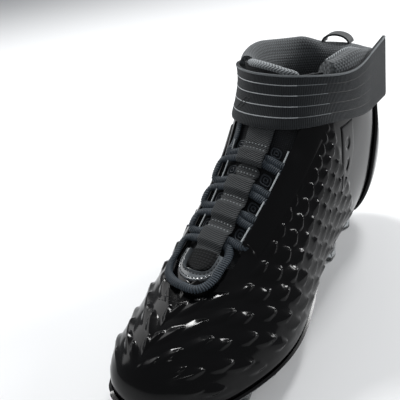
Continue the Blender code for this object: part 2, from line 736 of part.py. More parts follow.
def build_ribbon(name, start_along, end_along):
    """Webbing ribbon up the middle of the throat, with a hump over each lace pair."""
    start, end = LAST.girth_along_top(start_along), LAST.girth_along_top(end_along)
    rows = round((end - start) / RIBBON_ROW)
    shares = (1.0, 0.0, -1.0)
    crossings = lace_lines()
    low = np.zeros((rows, len(shares), 3))
    high = np.zeros_like(low)
    for row in range(rows):
        line = start + (end - start) * row / (rows - 1)
        depth = ribbon_depth(line, crossings)
        for column, share in enumerate(shares):
            x = throat_centre(line) + share * RIBBON_WIDTH / 2
            around = LAST.around_at_x(line, x)
            low[row, column] = LAST.raised(line, around, depth)
            high[row, column] = LAST.raised(line, around, depth + RIBBON_THICKNESS)
    add_slab(name, low, high, "webbing")


def build_pull_tab():
    """Small oval tab that lies on the tongue between the two ribbons."""
    centre = LAST.girth_along_top(PULL_TAB_PLACE)
    angles = np.linspace(PULL_TAB_END_ANGLE, math.pi - PULL_TAB_END_ANGLE, 6)
    shares = np.linspace(1.0, -1.0, 5)
    low = np.zeros((len(angles), len(shares), 3))
    high = np.zeros_like(low)
    depth = tongue_face_depth() + LINING_GAP
    for row, angle in enumerate(angles):
        line = centre - math.cos(angle) * PULL_TAB_LENGTH / 2
        half = PULL_TAB_WIDTH / 2 * math.sin(angle)
        for column, share in enumerate(shares):
            around = LAST.around_at_x(line, throat_centre(line) + half * share)
            low[row, column] = LAST.raised(line, around, depth)
            high[row, column] = LAST.raised(line, around, depth + PULL_TAB_THICKNESS)
    add_slab("pull_tab", low, high, "webbing")


# Lace: width of a strand as a share of its thickness, and bow exponents of its U
LACE_FLATNESS = 1.35
LOOP_BOW = (2.6, 2.2)
LOOP_ARM_GAP = 2.2
LOOP_ARM_SHARES = (1.0, 0.66, 0.33)
LOOP_SPREAD_SHARE = -0.7


def lace_pair_profile():
    """Outline of two strands side by side, as along and depth from the pair's middle."""
    radius = LACE_THICKNESS / 2
    half = LACE_PAIR_SPACING / 2
    waist = math.acos(half / (radius * LACE_FLATNESS))
    profile = []
    for side in (1, -1):
        for angle in np.linspace(-math.pi + waist, math.pi - waist, 7):
            along = side * (half + radius * LACE_FLATNESS * math.cos(angle))
            profile.append((along, side * radius * math.sin(angle)))
    return profile


def build_lace_row(row, line):
    """Lace crossing: two strands joined side by side, between the throat edges."""
    depth = tongue_face_depth() + LINING_GAP + LACE_THICKNESS / 2
    profile = lace_pair_profile()
    reach = throat_half(line) - UPPER_WALL - LINING_GAP
    rings = []
    for share in np.linspace(1.0, -1.0, 7):
        x = throat_centre(line) + share * reach
        ring = []
        for along, lift in profile:
            place = line + along
            ring.append(LAST.raised(place, LAST.around_at_x(place, x), depth + lift))
        rings.append(ring)
    add_loop_loft(row.name, np.array(rings), "lace_braid")


def throat_bow(reach_along, share):
    """Girth line of a U round the throat's toe end, at a share of its half width."""
    reach = LAST.girth_along_top(reach_along)
    arm = LAST.girth_along_top(THROAT_START)
    return arm - (arm - reach) * (1 - abs(share) ** LOOP_BOW[0]) ** (1 / LOOP_BOW[1])


def build_lace_loop():
    """Lowest loop of the lace: a U that lies on the vamp round the throat's toe end."""
    radius = LACE_THICKNESS / 2
    depth = LAYER_GAP + radius + SEAT_GAP
    half = THROAT_WIDTH / 2 + LACE_THICKNESS * LOOP_SPREAD_SHARE
    arm_end = lace_lines()[0] - LOOP_ARM_GAP * LACE_THICKNESS
    start = LAST.girth_along_top(THROAT_START)
    route = []
    for share in LOOP_ARM_SHARES:
        route.append((start + (arm_end - start) * share, 1.0))
    for angle in np.linspace(0.0, math.pi, 13):
        route.append((throat_bow(LACE_LOOP_REACH, math.cos(angle)), math.cos(angle)))
    for share in reversed(LOOP_ARM_SHARES):
        route.append((start + (arm_end - start) * share, -1.0))
    points = []
    for line, share in route:
        x = throat_centre(line) + share * half
        points.append(LAST.raised(line, LAST.around_at_x(line, x), depth))
    curve = bpy.data.curves.new("lace_loop", "CURVE")
    curve.dimensions = "3D"
    curve.bevel_depth = radius
    curve.bevel_resolution = 2
    curve.use_fill_caps = True
    spline = curve.splines.new("POLY")
    spline.points.add(len(points) - 1)
    for spot, point in zip(spline.points, points):
        spot.co = (*point, 1.0)
    curve.materials.append(finish_material("lace_braid"))
    CLEAT.objects.link(bpy.data.objects.new("lace_loop", curve))


# Throat tab: angle left open at its arms' ends, bow exponents, and gap to the throat
TAB_END_ANGLE = 0.16
TAB_BOW = (2.4, 1.8)
TAB_THROAT_GAP = 0.001
TAB_LACE_GAP = 0.0015


def build_throat_tab():
    """Moulded U-shaped tab that rims the throat's toe end."""
    shares = [math.cos(angle) for angle in np.linspace(TAB_END_ANGLE, math.pi - TAB_END_ANGLE, 15)]
    widths = (0.0, 0.5, 1.0)
    half = THROAT_WIDTH / 2 - LACE_THICKNESS - TAB_LACE_GAP
    inner_reach = LAST.girth_along_top(THROAT_START) - THROAT_ROUND - TAB_THROAT_GAP
    outer_reach = LAST.girth_along_top(THROAT_TAB_REACH)
    arm = LAST.girth_along_top(THROAT_START)
    skin = np.zeros((len(widths), len(shares), 3))
    for row, width in enumerate(widths):
        for column, share in enumerate(shares):
            bow = (1 - abs(share) ** TAB_BOW[0]) ** (1 / TAB_BOW[1])
            near = arm - (arm - inner_reach) * bow
            far = arm - (arm - outer_reach) * bow
            line = far + (near - far) * width
            x = throat_centre(line) + share * half
            skin[row, column] = LAST.raised(line, LAST.around_at_x(line, x), LAYER_GAP)
    add_shell("throat_tab", skin, THROAT_TAB_THICKNESS, True, "moulded_black")


def build_eyestay(name, side):
    """Raised band along one throat edge, its outer border stepped at each lace row."""
    start = LAST.girth_along_top(LACE_ROWS[0].along) - LACE_PAIR_SPACING
    end = LAST.girth_along_top(RIBBON_HIGH_END)
    bounds = [start] + lace_lines()[1:] + [end]
    shares = (0.0, 0.5, 1.0)
    rows = []
    for low, high in zip(bounds, bounds[1:]):
        for step in np.linspace(0.0, 1.0, 4):
            inset = EYESTAY_NOTCH * ((step == 0.0) - float(step == 1.0))
            line = low + (high - low) * step + inset
            rows.append((line, EYESTAY_STEP * (1.0 - step)))
    skin = np.zeros((len(rows), len(shares), 3))
    for row, (line, step) in enumerate(rows):
        for column, share in enumerate(shares):
            width = EYESTAY_MARGIN + share * (EYESTAY_WIDTH - step)
            x = throat_centre(line) + side * (throat_half(line) + width)
            skin[row, column] = LAST.raised(line, LAST.around_at_x(line, x), LAYER_GAP)
    if side > 0:
        skin = skin[:, ::-1]
    add_shell(name, skin, EYESTAY_THICKNESS, True, "moulded_black")


class Shaft:
    """Horizontal sections of the last about an upright axis in the ankle."""

    def __init__(self):
        lines = np.linspace(0.001, LAST.end, 220)
        places = np.linspace(0.0, 1.0, 181)[:-1]
        points = np.array([LAST.ring(line, places) for line in lines])
        faces = loft_faces(len(lines), len(places), True, frozenset())
        self.tree = BVHTree.FromPolygons([tuple(point) for point in points.reshape(-1, 3)], faces)
        self.axis_y = SHAFT_AXIS_ALONG * LAST_LENGTH

    def point(self, turn, height, depth):
        """Point at a turn from the front, positive over the outer side, and a height."""
        outward = Vector((math.sin(turn), -math.cos(turn), 0.0))
        hit, normal = self.tree.ray_cast(Vector((0.0, self.axis_y, height)), outward)[0:2]
        if normal.dot(outward) < 0:
            normal = -normal
        return np.array(hit + normal * depth)


def strap_rows():
    """Turn, low and high edge of the strap, read smoothly from its stations."""
    turns = np.array([station.turn for station in STRAP_STATIONS], dtype=float)
    edges = np.array([[station.low, station.high] for station in STRAP_STATIONS])
    bends = spline_bends(turns, edges)
    spread = np.linspace(turns[0], turns[-1], 30)
    return [(math.radians(turn), spline_at(turns, edges, bends, turn)) for turn in spread]


def build_strap(shaft):
    """Ankle strap: a wide elastic band whose tail runs straight past the outer heel."""
    shares = np.linspace(0.0, 1.0, 5)
    depth = LAYER_GAP + SEAT_GAP
    last = STRAP_STATIONS[-1]
    columns = []
    for turn, (low, high) in strap_rows():
        column = []
        for share in shares:
            height = SOLE_HEIGHT + SHAFT_HEIGHT * (low + (high - low) * share)
            column.append(shaft.point(turn, height, depth))
        columns.append(column)
    base = np.array(columns[-1])
    heading = (base - np.array(columns[-2])).mean(axis=0)
    heading /= np.linalg.norm(heading)
    for step in STRAP_TAIL_SHARES:
        low = last.low + (STRAP_TAIL_LOW - last.low) * step
        high = last.high + (STRAP_TAIL_HIGH - last.high) * step
        column = base + heading * STRAP_TAIL * step
        column[:, 0] = base[:, 0].max() + (base[:, 0] - base[:, 0].max()) * (1 - step)
        column[:, 2] = SOLE_HEIGHT + SHAFT_HEIGHT * (low + (high - low) * shares)
        columns.append(column)
    skin = np.array(columns).transpose(1, 0, 2)
    add_shell("ankle_strap", skin[::-1], STRAP_THICKNESS, True, "elastic_strap")


def build_collar_pad(shaft):
    """Collar pad: a padded roll inside the collar that caps the upper's top edge."""
    inner_face = -(UPPER_WALL + LINING_GAP + SEAT_GAP)
    # Depth and rise from the collar's edge, from the low outer end over the roll.
    profile = [
        (inner_face, -PAD_DEPTH),
        (inner_face, -PAD_DEPTH * 0.5),
        (inner_face, SEAT_GAP),
        (inner_face * 0.6, LINING_GAP),
        (0.0, LINING_GAP),
        (0.0, PAD_ROLL * 0.45),
        (-PAD_THICKNESS * 0.25, PAD_ROLL * 0.92),
        (-PAD_THICKNESS * PAD_CROWN, PAD_ROLL),
        (-PAD_THICKNESS * 1.08, PAD_ROLL * 0.45),
        (-PAD_THICKNESS * 1.28, -PAD_DEPTH * 0.12),
        (-PAD_THICKNESS * 1.15, -PAD_DEPTH * 0.45),
        (-PAD_THICKNESS * 0.80, -PAD_DEPTH * 0.85),
        (-PAD_THICKNESS * 0.58, -PAD_DEPTH * 1.02),
    ]
    rings = []
    for turn in np.radians(np.linspace(PAD_OUTER_END, 360 + PAD_INNER_END, 28)):
        edge = bisect(
            COLLAR_BACK_HEIGHT * 0.9,
            COLLAR_FRONT_HEIGHT * 1.1,
            lambda height: height > collar_height(shaft.point(turn, height, 0.0)),
        )
        rings.append([shaft.point(turn, edge + rise, depth) for depth, rise in profile])
    add_loop_loft("collar_pad", np.array(rings), "collar_mesh")


def build_heel_counter(shaft):
    """Heel counter: a moulded cup round the heel, from the plate's rim to the strap."""
    low = SOLE_HEIGHT + HEEL_RISE + RIM_HEIGHT + LINING_GAP
    skin = []
    for share in np.linspace(0.0, 1.0, 10) ** COUNTER_CROWDING:
        height = low + (COUNTER_TOP_HEIGHT - low) * share
        span = math.radians(COUNTER_LOW_SPAN + (COUNTER_TOP_SPAN - COUNTER_LOW_SPAN) * share)
        turns = np.linspace(math.pi + span, math.pi - span, 18)
        skin.append([shaft.point(turn, height, LAYER_GAP + SEAT_GAP) for turn in turns])
    add_shell("heel_counter", np.array(skin), COUNTER_THICKNESS, True, "moulded_black")


def build_pull_loop(shaft):
    """Heel pull loop: a low webbing arch on the collar's back edge."""
    back = shaft.point(math.pi, COLLAR_BACK_HEIGHT + PAD_ROLL, 0.0)
    crown = shaft.point(math.pi, COLLAR_BACK_HEIGHT + PAD_ROLL, -PAD_CROWN * PAD_THICKNESS)
    seat = crown[2] + SEAT_GAP
    steps = np.linspace(0.0, math.pi, 13)
    low = np.zeros((2, len(steps), 3))
    high = np.zeros_like(low)
    for skin, trim in ((low, PULL_LOOP_THICKNESS), (high, 0.0)):
        for column, angle in enumerate(steps):
            x = (PULL_LOOP_SPAN / 2 - trim) * math.cos(angle)
            height = seat - COLLAR_TILT * x / SHAFT_WIDTH
            height += (PULL_LOOP_HEIGHT - trim) * math.sin(angle)
            skin[0, column] = (x, back[1] - PULL_LOOP_WIDTH, height)
            skin[1, column] = (x, back[1], height)
    add_slab("pull_loop", low, high, "webbing")


def centre_on_origin():
    """Move every piece so that the shoe's box stands centred on the origin."""
    bpy.context.view_layer.update()
    depsgraph = bpy.context.evaluated_depsgraph_get()
    places = []
    for part in CLEAT.objects:
        evaluated = part.evaluated_get(depsgraph)
        places += [tuple(vertex.co) for vertex in evaluated.to_mesh().vertices]
        evaluated.to_mesh_clear()
    middle = (np.min(places, axis=0) + np.max(places, axis=0)) / 2
    for part in CLEAT.objects:
        part.location = (-middle[0], -middle[1], 0.0)


def build_cleat():
    """Build every piece of the shoe."""
    shaft = Shaft()
    build_upper()
    outsole = build_outsole()
    build_insole()
    build_studs(outsole)
    build_tongue()
    build_ribbon("ribbon_low", RIBBON_LOW_START, RIBBON_LOW_END)
    build_ribbon("ribbon_high", RIBBON_HIGH_START, RIBBON_HIGH_END)
    build_pull_tab()
    for row, line in zip(LACE_ROWS, lace_lines()):
        build_lace_row(row, line)
    build_lace_loop()
    build_throat_tab()
    build_eyestay("eyestay_outer", 1)
    build_eyestay("eyestay_inner", -1)
    build_strap(shaft)
    build_collar_pad(shaft)
    build_heel_counter(shaft)
    build_pull_loop(shaft)
    centre_on_origin()


remove_everything()
LAST = Last(SECTIONS)
CLEAT = bpy.data.collections.new("football_cleat")
bpy.context.scene.collection.children.link(CLEAT)
build_cleat()
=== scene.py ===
"""Looks of a left high-top football cleat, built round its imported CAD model.

Metres, +Z up, toe to -Y, heel to +Y, outer side of the foot to +X. Every piece follows
one last: a place on it is a girth line, in metres from the toe tip, and a place round
it, from 0 under the sole over the outer side to 0.5 on top and back on the inner side.
"""

from __future__ import annotations

import logging
import math
from collections.abc import Iterator, Sequence
from dataclasses import dataclass, field
from enum import Enum

import bmesh
import bpy
import numpy as np
from mathutils import Matrix, Vector
from mathutils.bvhtree import BVHTree


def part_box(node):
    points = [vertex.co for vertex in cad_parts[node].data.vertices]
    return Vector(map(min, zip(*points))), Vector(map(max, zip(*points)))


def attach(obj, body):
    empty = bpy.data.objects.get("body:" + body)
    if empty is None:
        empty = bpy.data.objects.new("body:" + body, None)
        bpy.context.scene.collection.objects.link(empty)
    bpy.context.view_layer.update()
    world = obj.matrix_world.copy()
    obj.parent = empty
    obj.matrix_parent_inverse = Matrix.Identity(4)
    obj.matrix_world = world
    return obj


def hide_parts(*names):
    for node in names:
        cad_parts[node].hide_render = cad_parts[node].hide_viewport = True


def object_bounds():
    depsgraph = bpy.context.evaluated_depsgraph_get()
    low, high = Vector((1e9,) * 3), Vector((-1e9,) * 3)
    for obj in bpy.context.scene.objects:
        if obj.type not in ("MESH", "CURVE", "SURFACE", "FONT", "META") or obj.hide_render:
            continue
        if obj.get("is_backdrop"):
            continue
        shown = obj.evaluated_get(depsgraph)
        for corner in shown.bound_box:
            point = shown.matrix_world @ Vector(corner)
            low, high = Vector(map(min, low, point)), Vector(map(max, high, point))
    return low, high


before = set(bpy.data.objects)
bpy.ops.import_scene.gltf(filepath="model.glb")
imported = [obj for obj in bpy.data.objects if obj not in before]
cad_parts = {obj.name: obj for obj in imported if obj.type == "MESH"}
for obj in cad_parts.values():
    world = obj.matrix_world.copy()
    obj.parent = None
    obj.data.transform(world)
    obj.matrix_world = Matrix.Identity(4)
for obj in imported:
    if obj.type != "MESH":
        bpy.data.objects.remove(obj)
CAD_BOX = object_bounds()
LOG = logging.getLogger("cleat")
Array = np.ndarray
MM = 0.001

# Sizes shared with the part's source
SEAT_GAP = 0.3 * MM
LAYER_GAP = 0.5 * MM
LINING_GAP = 0.7 * MM
UPPER_WALL = 2.0 * MM
PLATE_THICKNESS = 2.6 * MM
RIM_THICKNESS = 1.7 * MM
RIM_HEIGHT = 7.5 * MM
LACE_THICKNESS = 4.2 * MM
LACE_PAIR_SPACING = 5.2 * MM
LACE_PLACES = (-0.167, -0.109, -0.053, 0.005)
ROW_SKEW = 0.18
RIBBON_STITCH = (1.3 * MM, 0.95 * MM, 0.6 * MM)
RIBBON_STITCH_SPACING = 2.3 * MM
THROAT_START = -0.214
THROAT_TOP = 0.075


def smooth_step(value: Array | float, start: float = 0.0, width: float = 1.0) -> Array | float:
    """Smooth rise from 0 to 1 over a width of values, from a starting value."""
    share = np.clip((value - start) / width, 0.0, 1.0)
    return share * share * (3.0 - 2.0 * share)


def hump(value: Array, middle: float, width: float) -> Array:
    """Bell curve of height 1 about a middle value."""
    return np.exp(-(((value - middle) / width) ** 2))


def spline_bends(knots: Array, values: Array) -> Array:
    """Second derivatives of the natural cubic spline through values.

    Args:
        knots: places of the values, rising.
        values: one row for each knot.

    Returns:
        One row of second derivatives for each knot.
    """
    matrix, right = np.eye(len(knots)), np.zeros(values.shape)
    for i in range(1, len(knots) - 1):
        before, after = knots[i] - knots[i - 1], knots[i + 1] - knots[i]
        matrix[i, i - 1 : i + 2] = before / 6, (before + after) / 3, after / 6
        right[i] = (values[i + 1] - values[i]) / after - (values[i] - values[i - 1]) / before
    return np.linalg.solve(matrix, right)


def spline_at(knots: Array, values: Array, bends: Array, places: Array) -> Array:
    """Values of a cubic spline at several places.

    Args:
        knots: places of the known values, rising.
        values: one row of values for each knot.
        bends: second derivatives from spline_bends.
        places: where to read it.

    Returns:
        One row of values for each place.
    """
    places = np.asarray(places, dtype=float)
    i = np.clip(np.searchsorted(knots, places) - 1, 0, len(knots) - 2)
    step = (knots[i + 1] - knots[i])[:, None]
    a = (knots[i + 1] - places)[:, None] / step
    b = 1.0 - a
    bend = (a**3 - a) * bends[i] + (b**3 - b) * bends[i + 1]
    return a * values[i] + b * values[i + 1] + bend * step * step / 6


def curve_through(points: Sequence[Sequence[float]], count: int) -> Array:
    """Smooth curve of several coordinates through points, read at even steps.

    Args:
        points: coordinates of each point.
        count: number of places to read.

    Returns:
        One row of coordinates for each place.
    """
    values = np.array(points, dtype=float)
    gaps = np.linalg.norm(np.diff(values[:, :2], axis=0), axis=1)
    knots = np.concatenate([[0.0], np.cumsum(np.maximum(gaps, 0.2 * MM) ** 0.5)])
    return spline_at(knots, values, spline_bends(knots, values), np.linspace(0, knots[-1], count))


@dataclass
class Last:
    """The shoe's last, read from a fine table of its surface."""

    length: float = 0.304
    ball: float = 0.103
    shaft: float = 0.088
    sole: float = 0.0165
    rise: float = 0.0085
    height: float = 0.1715
    line_count: int = 1000
    place_count: int = 1025
    mirrored: int = 4

    def __post_init__(self) -> None:
        """Make the table of points, normals and girth lengths."""
        rows = np.array([self._row(section) for section in self._sections()])
        front = rows[1 : self.mirrored + 1][::-1].copy()
        front[:, 0:4] = front[:, [2, 3, 0, 1]]
        front[:, 4:6] *= -1.0
        rows = np.vstack([front, rows])
        steps = np.hypot(*np.diff(rows[:, 0:2], axis=0).T) + np.hypot(*np.diff(rows[:, 2:4], axis=0).T)
        knots = np.concatenate([[0.0], np.cumsum(steps / 2)])
        knots -= knots[self.mirrored]
        self.stations = knots[self.mirrored :]
        self.end = float(self.stations[-1])
        self.lines = np.linspace(0.0, self.end, self.line_count)
        values = spline_at(knots, rows, spline_bends(knots, rows), self.lines)
        self.tops = values[:, 2]
        self.points = self._surface(values)
        along = np.gradient(self.points, axis=0)
        padded = np.concatenate([self.points[:, -2:-1], self.points, self.points[:, 1:2]], axis=1)
        normals = np.cross(along, padded[:, 2:] - padded[:, :-2])
        normals /= np.maximum(np.linalg.norm(normals, axis=2, keepdims=True), 1e-12)
        normals[0] = normals[1]
        self.normals = normals
        run = np.linalg.norm(np.diff(self.points, axis=1), axis=2)
        run = np.concatenate([np.zeros((len(run), 1)), np.cumsum(run, axis=1)], axis=1)
        top = run[:, (self.place_count - 1) // 2, None]
        self.from_top = (top - run)[..., None]

    def _sections(self) -> list[tuple]:
        """Shares of the sections, from the toe to the collar, as in the part's source.

        Returns:
            One row for each section, in the order that _row reads.
        """
        b, s = self.ball, self.shaft
        return [
            (-0.493, 0.0, 0.090, -0.493, 0.090, b, 0.0, 0.0, -0.039, 0.34, 2.6, 2.2),
            (-0.482, 0.0, 0.058, -0.484, 0.166, b, 0.146, 0.146, -0.039, 0.34, 2.8, 2.2),
            (-0.454, 0.0, 0.035, -0.457, 0.216, b, 0.272, 0.252, -0.034, 0.34, 3.2, 2.25),
            (-0.411, 0.0, 0.018, -0.415, 0.251, b, 0.379, 0.330, -0.029, 0.33, 3.6, 2.2),
            (-0.349, 0.0, 0.006, -0.349, 0.283, b, 0.456, 0.388, -0.019, 0.32, 4.0, 2.1),
            (-0.270, 0.0, 0.0, -0.270, 0.324, b, 0.515, 0.447, -0.010, 0.31, 4.2, 2.0),
            (-0.181, 0.0, 0.0, -0.184, 0.382, b, 0.524, 0.476, 0.0, 0.30, 4.2, 2.05),
            (-0.086, 0.24, 0.0, -0.102, 0.458, b, 0.485, 0.466, 0.0, 0.31, 4.0, 2.15),
            (0.013, 0.59, 0.0, -0.026, 0.545, s, 0.511, 0.511, 0.0, 0.38, 3.6, 2.25),
            (0.118, 0.88, 0.0, 0.030, 0.627, s, 0.489, 0.489, 0.0, 0.48, 3.4, 2.35),
            (0.230, 1.0, 0.0, 0.063, 0.697, s, 0.489, 0.489, 0.0, 0.52, 3.2, 2.4),
            (0.345, 1.0, 0.0, 0.086, 0.761, s, 0.489, 0.489, 0.0, 0.54, 2.9, 2.4),
            (0.451, 1.0, 0.023, 0.099, 0.813, s, 0.489, 0.489, 0.0, 0.54, 2.5, 2.4),
            (0.507, 1.0, 0.157, 0.109, 0.860, s, 0.489, 0.489, 0.0, 0.52, 2.3, 2.4),
            (0.493, 1.0, 0.367, 0.118, 0.907, s, 0.489, 0.489, 0.0, 0.51, 2.2, 2.4),
            (0.490, 1.0, 0.566, 0.125, 0.953, s, 0.500, 0.511, 0.0, 0.50, 2.2, 2.4),
            (0.500, 1.0, 0.776, 0.132, 1.0, s, 0.511, 0.523, 0.0, 0.50, 2.2, 2.4),
        ]

    def _row(self, section: tuple) -> list[float]:
        """Lengths of one section.

        Args:
            section: its shares.

        Returns:
            Low and top points, half widths, sideways shift, widest share and roundness.
        """
        low_y, lift, low_up, top_y, top_up, width, outer, inner, shift = section[:9]
        low_z = self.sole + lift * self.rise + low_up * self.height
        top_z = self.sole + top_up * self.height
        sizes = [low_y * self.length, low_z, top_y * self.length, top_z]
        return sizes + [outer * width, inner * width, shift * width, *section[9:]]

    def _surface(self, values: Array) -> Array:
        """Points of every girth line at even places round it.

        Args:
            values: one row of section sizes for each girth line.

        Returns:
            Points by girth line and place.
        """
        low_y, low_z, top_y, top_z, outer, inner, shift, belly, low_round, top_round = values.T[..., None]
        angles = np.linspace(0.0, math.pi / 2, 220)
        sine, cosine = np.abs(np.sin(angles)), np.abs(np.cos(angles))
        lean = np.hypot(top_y - low_y, top_z - low_z)
        heights = (belly * (1 - cosine ** (2 / low_round)), belly + (1 - belly) * sine ** (2 / top_round))
        fold = np.linspace(0.0, 0.5, (self.place_count + 1) // 2)
        halves = []
        for half in (outer, inner):
            across = np.zeros((len(values), len(fold)))
            up = np.zeros_like(across)
            offsets = (half * sine ** (2 / low_round), half * cosine ** (2 / top_round))
            for row in range(len(values)):
                places, offset, height = [], [], []
                for number in (0, 1):
                    off, high = offsets[number][row], heights[number][row]
                    run = np.hypot(np.diff(off), np.diff(high) * lean[row, 0])
                    run = np.concatenate([[0.0], np.cumsum(run)])
                    places.append(0.25 * (number + run / max(run[-1], 1e-12)))
                    offset.append(off)
                    height.append(high)
                across[row] = np.interp(fold, np.concatenate(places), np.concatenate(offset))
                up[row] = np.interp(fold, np.concatenate(places), np.concatenate(height))
            halves.append((across, up))
        across = np.concatenate([halves[0][0], -halves[1][0][:, -2::-1]], axis=1)
        up = np.concatenate([halves[0][1], halves[1][1][:, -2::-1]], axis=1)
        return np.stack([shift + across, low_y + (top_y - low_y) * up, low_z + (top_z - low_z) * up], axis=-1)

    def _read(self, table: Array, line: Array, around: Array) -> Array:
        """Bilinear reading of a table.

        Args:
            table: rows by girth line, columns by place.
            line: girth lines.
            around: places round them.

        Returns:
            Read values, of the same shape.
        """
        line, around = np.broadcast_arrays(np.asarray(line, float), np.asarray(around, float))
        row = np.clip(line / self.end, 0.0, 1.0) * (self.line_count - 1)
        column = np.mod(around, 1.0) * (self.place_count - 1)
        i = np.minimum(row.astype(int), self.line_count - 2)
        j = np.minimum(column.astype(int), self.place_count - 2)
        a, b = (row - i)[..., None], (column - j)[..., None]
        low = (1 - b) * table[i, j] + b * table[i, j + 1]
        return (1 - a) * low + a * ((1 - b) * table[i + 1, j] + b * table[i + 1, j + 1])

    def at(self, line: Array, around: Array) -> Array:
        """Points of the last."""
        return self._read(self.points, line, around)

    def normal(self, line: Array, around: Array) -> Array:
        """Outward directions of the last."""
        normal = self._read(self.normals, line, around)
        return normal / np.linalg.norm(normal, axis=-1, keepdims=True)

    def girth_from_top(self, line: Array, around: Array) -> Array:
        """Length round the girth line from its top, positive over the outer side."""
        return self._read(self.from_top, line, around)[..., 0]

    def raised(self, line: Array, around: Array, depth: Array | float) -> Array:
        """Points at a depth outside the last, negative inside."""
        return self.at(line, around) + np.asarray(depth)[..., None] * self.normal(line, around)

    def girth(self, station: float) -> float:
        """Girth line at a section number."""
        return float(np.interp(station, range(len(self.stations)), self.stations))

    def top_line(self, share: float) -> float:
        """Girth line whose top end lies at a share of the last's length."""
        return float(np.interp(share * self.length, self.tops, self.lines))

    def around_at_x(self, line: Array, x: Array) -> Array:
        """Place round the upper part of girth lines where they cross x.

        Args:
            line: girth lines.
            x: sideways places.

        Returns:
            Places round, of the same shape.
        """
        line, x = np.broadcast_arrays(np.asarray(line, float), np.asarray(x, float))
        shape, line, x = line.shape, line.ravel(), x.ravel()
        places = np.linspace(0.22, 0.78, 169)
        found = np.empty(len(line))
        for start in range(0, len(line), 4000):
            part = slice(start, start + 4000)
            across = self.at(line[part, None], places)[..., 0]
            index = np.clip((across > x[part, None]).sum(axis=1), 1, len(places) - 1)
            rows = np.arange(len(index))
            left, right = across[rows, index - 1], across[rows, index]
            share = np.clip((left - x[part]) / np.maximum(left - right, 1e-9), 0.0, 1.0)
            found[part] = places[index - 1] + share * (places[1] - places[0])
        return found.reshape(shape)

    def around_at_height(self, line: float, height: float) -> float:
        """Place round the outer lower part of a girth line at a height."""
        places = np.linspace(0.0, 0.25, 65)
        return float(np.interp(height, self.at(line, places)[:, 2], places))


@dataclass
class Throat:
    """The lacing opening, by its middle and edges across the last."""

    last: Last
    width: float = 44 * MM
    spread: float = 10 * MM
    drift: float = 4 * MM
    round_end: float = 9 * MM
    most_share: float = 0.31
    tongue_depth: float = -(UPPER_WALL + LINING_GAP + SEAT_GAP)

    def __post_init__(self) -> None:
        """Find the girth lines of its ends and of the lace crossings."""
        self.start = self.last.top_line(THROAT_START)
        self.top = self.last.top_line(THROAT_TOP)
        self.crossings = [self.last.top_line(place) for place in LACE_PLACES]

    def progress(self, line: Array) -> Array:
        """Share of the way up the throat."""
        return np.clip((np.asarray(line) - self.start) / (self.top - self.start), 0.0, 1.0)

    def centre(self, line: Array) -> Array:
        """Sideways place of the middle."""
        return -self.drift * (1.0 - self.progress(line))

    def half(self, line: Array) -> Array:
        """Half width, limited near the toe by the last itself.

        Args:
            line: girth lines.

        Returns:
            Half widths.
        """
        sides = self.last.at(np.asarray(line)[..., None], np.array([0.25, 0.75]))[..., 0]
        wanted = (self.width + self.spread * self.progress(line)) / 2
        return np.minimum(wanted, self.most_share * (sides[..., 0] - sides[..., 1]))

    def edge(self, line: Array, side: float) -> Array:
        """Place round the last of one edge, side 1 for outer and -1 for inner."""
        return self.last.around_at_x(line, self.centre(line) + side * self.half(line))

    def place(self, line: Array, x: Array, depth: Array | float) -> Array:
        """Points over the throat by their distance from its middle."""
        return self.row(line, x, depth)[0]

    def row(
        self, line: Array, x: Array, depth: Array | float
    ) -> tuple[Array, Array]:
        """Points over the throat, with the outward directions there.

        Args:
            line: girth lines.
            x: distances from the throat's middle.
            depth: depths outside the last.

        Returns:
            Points and directions.
        """
        around = self.last.around_at_x(line, self.centre(line) + x)
        return self.last.raised(line, around, depth), self.last.normal(line, around)


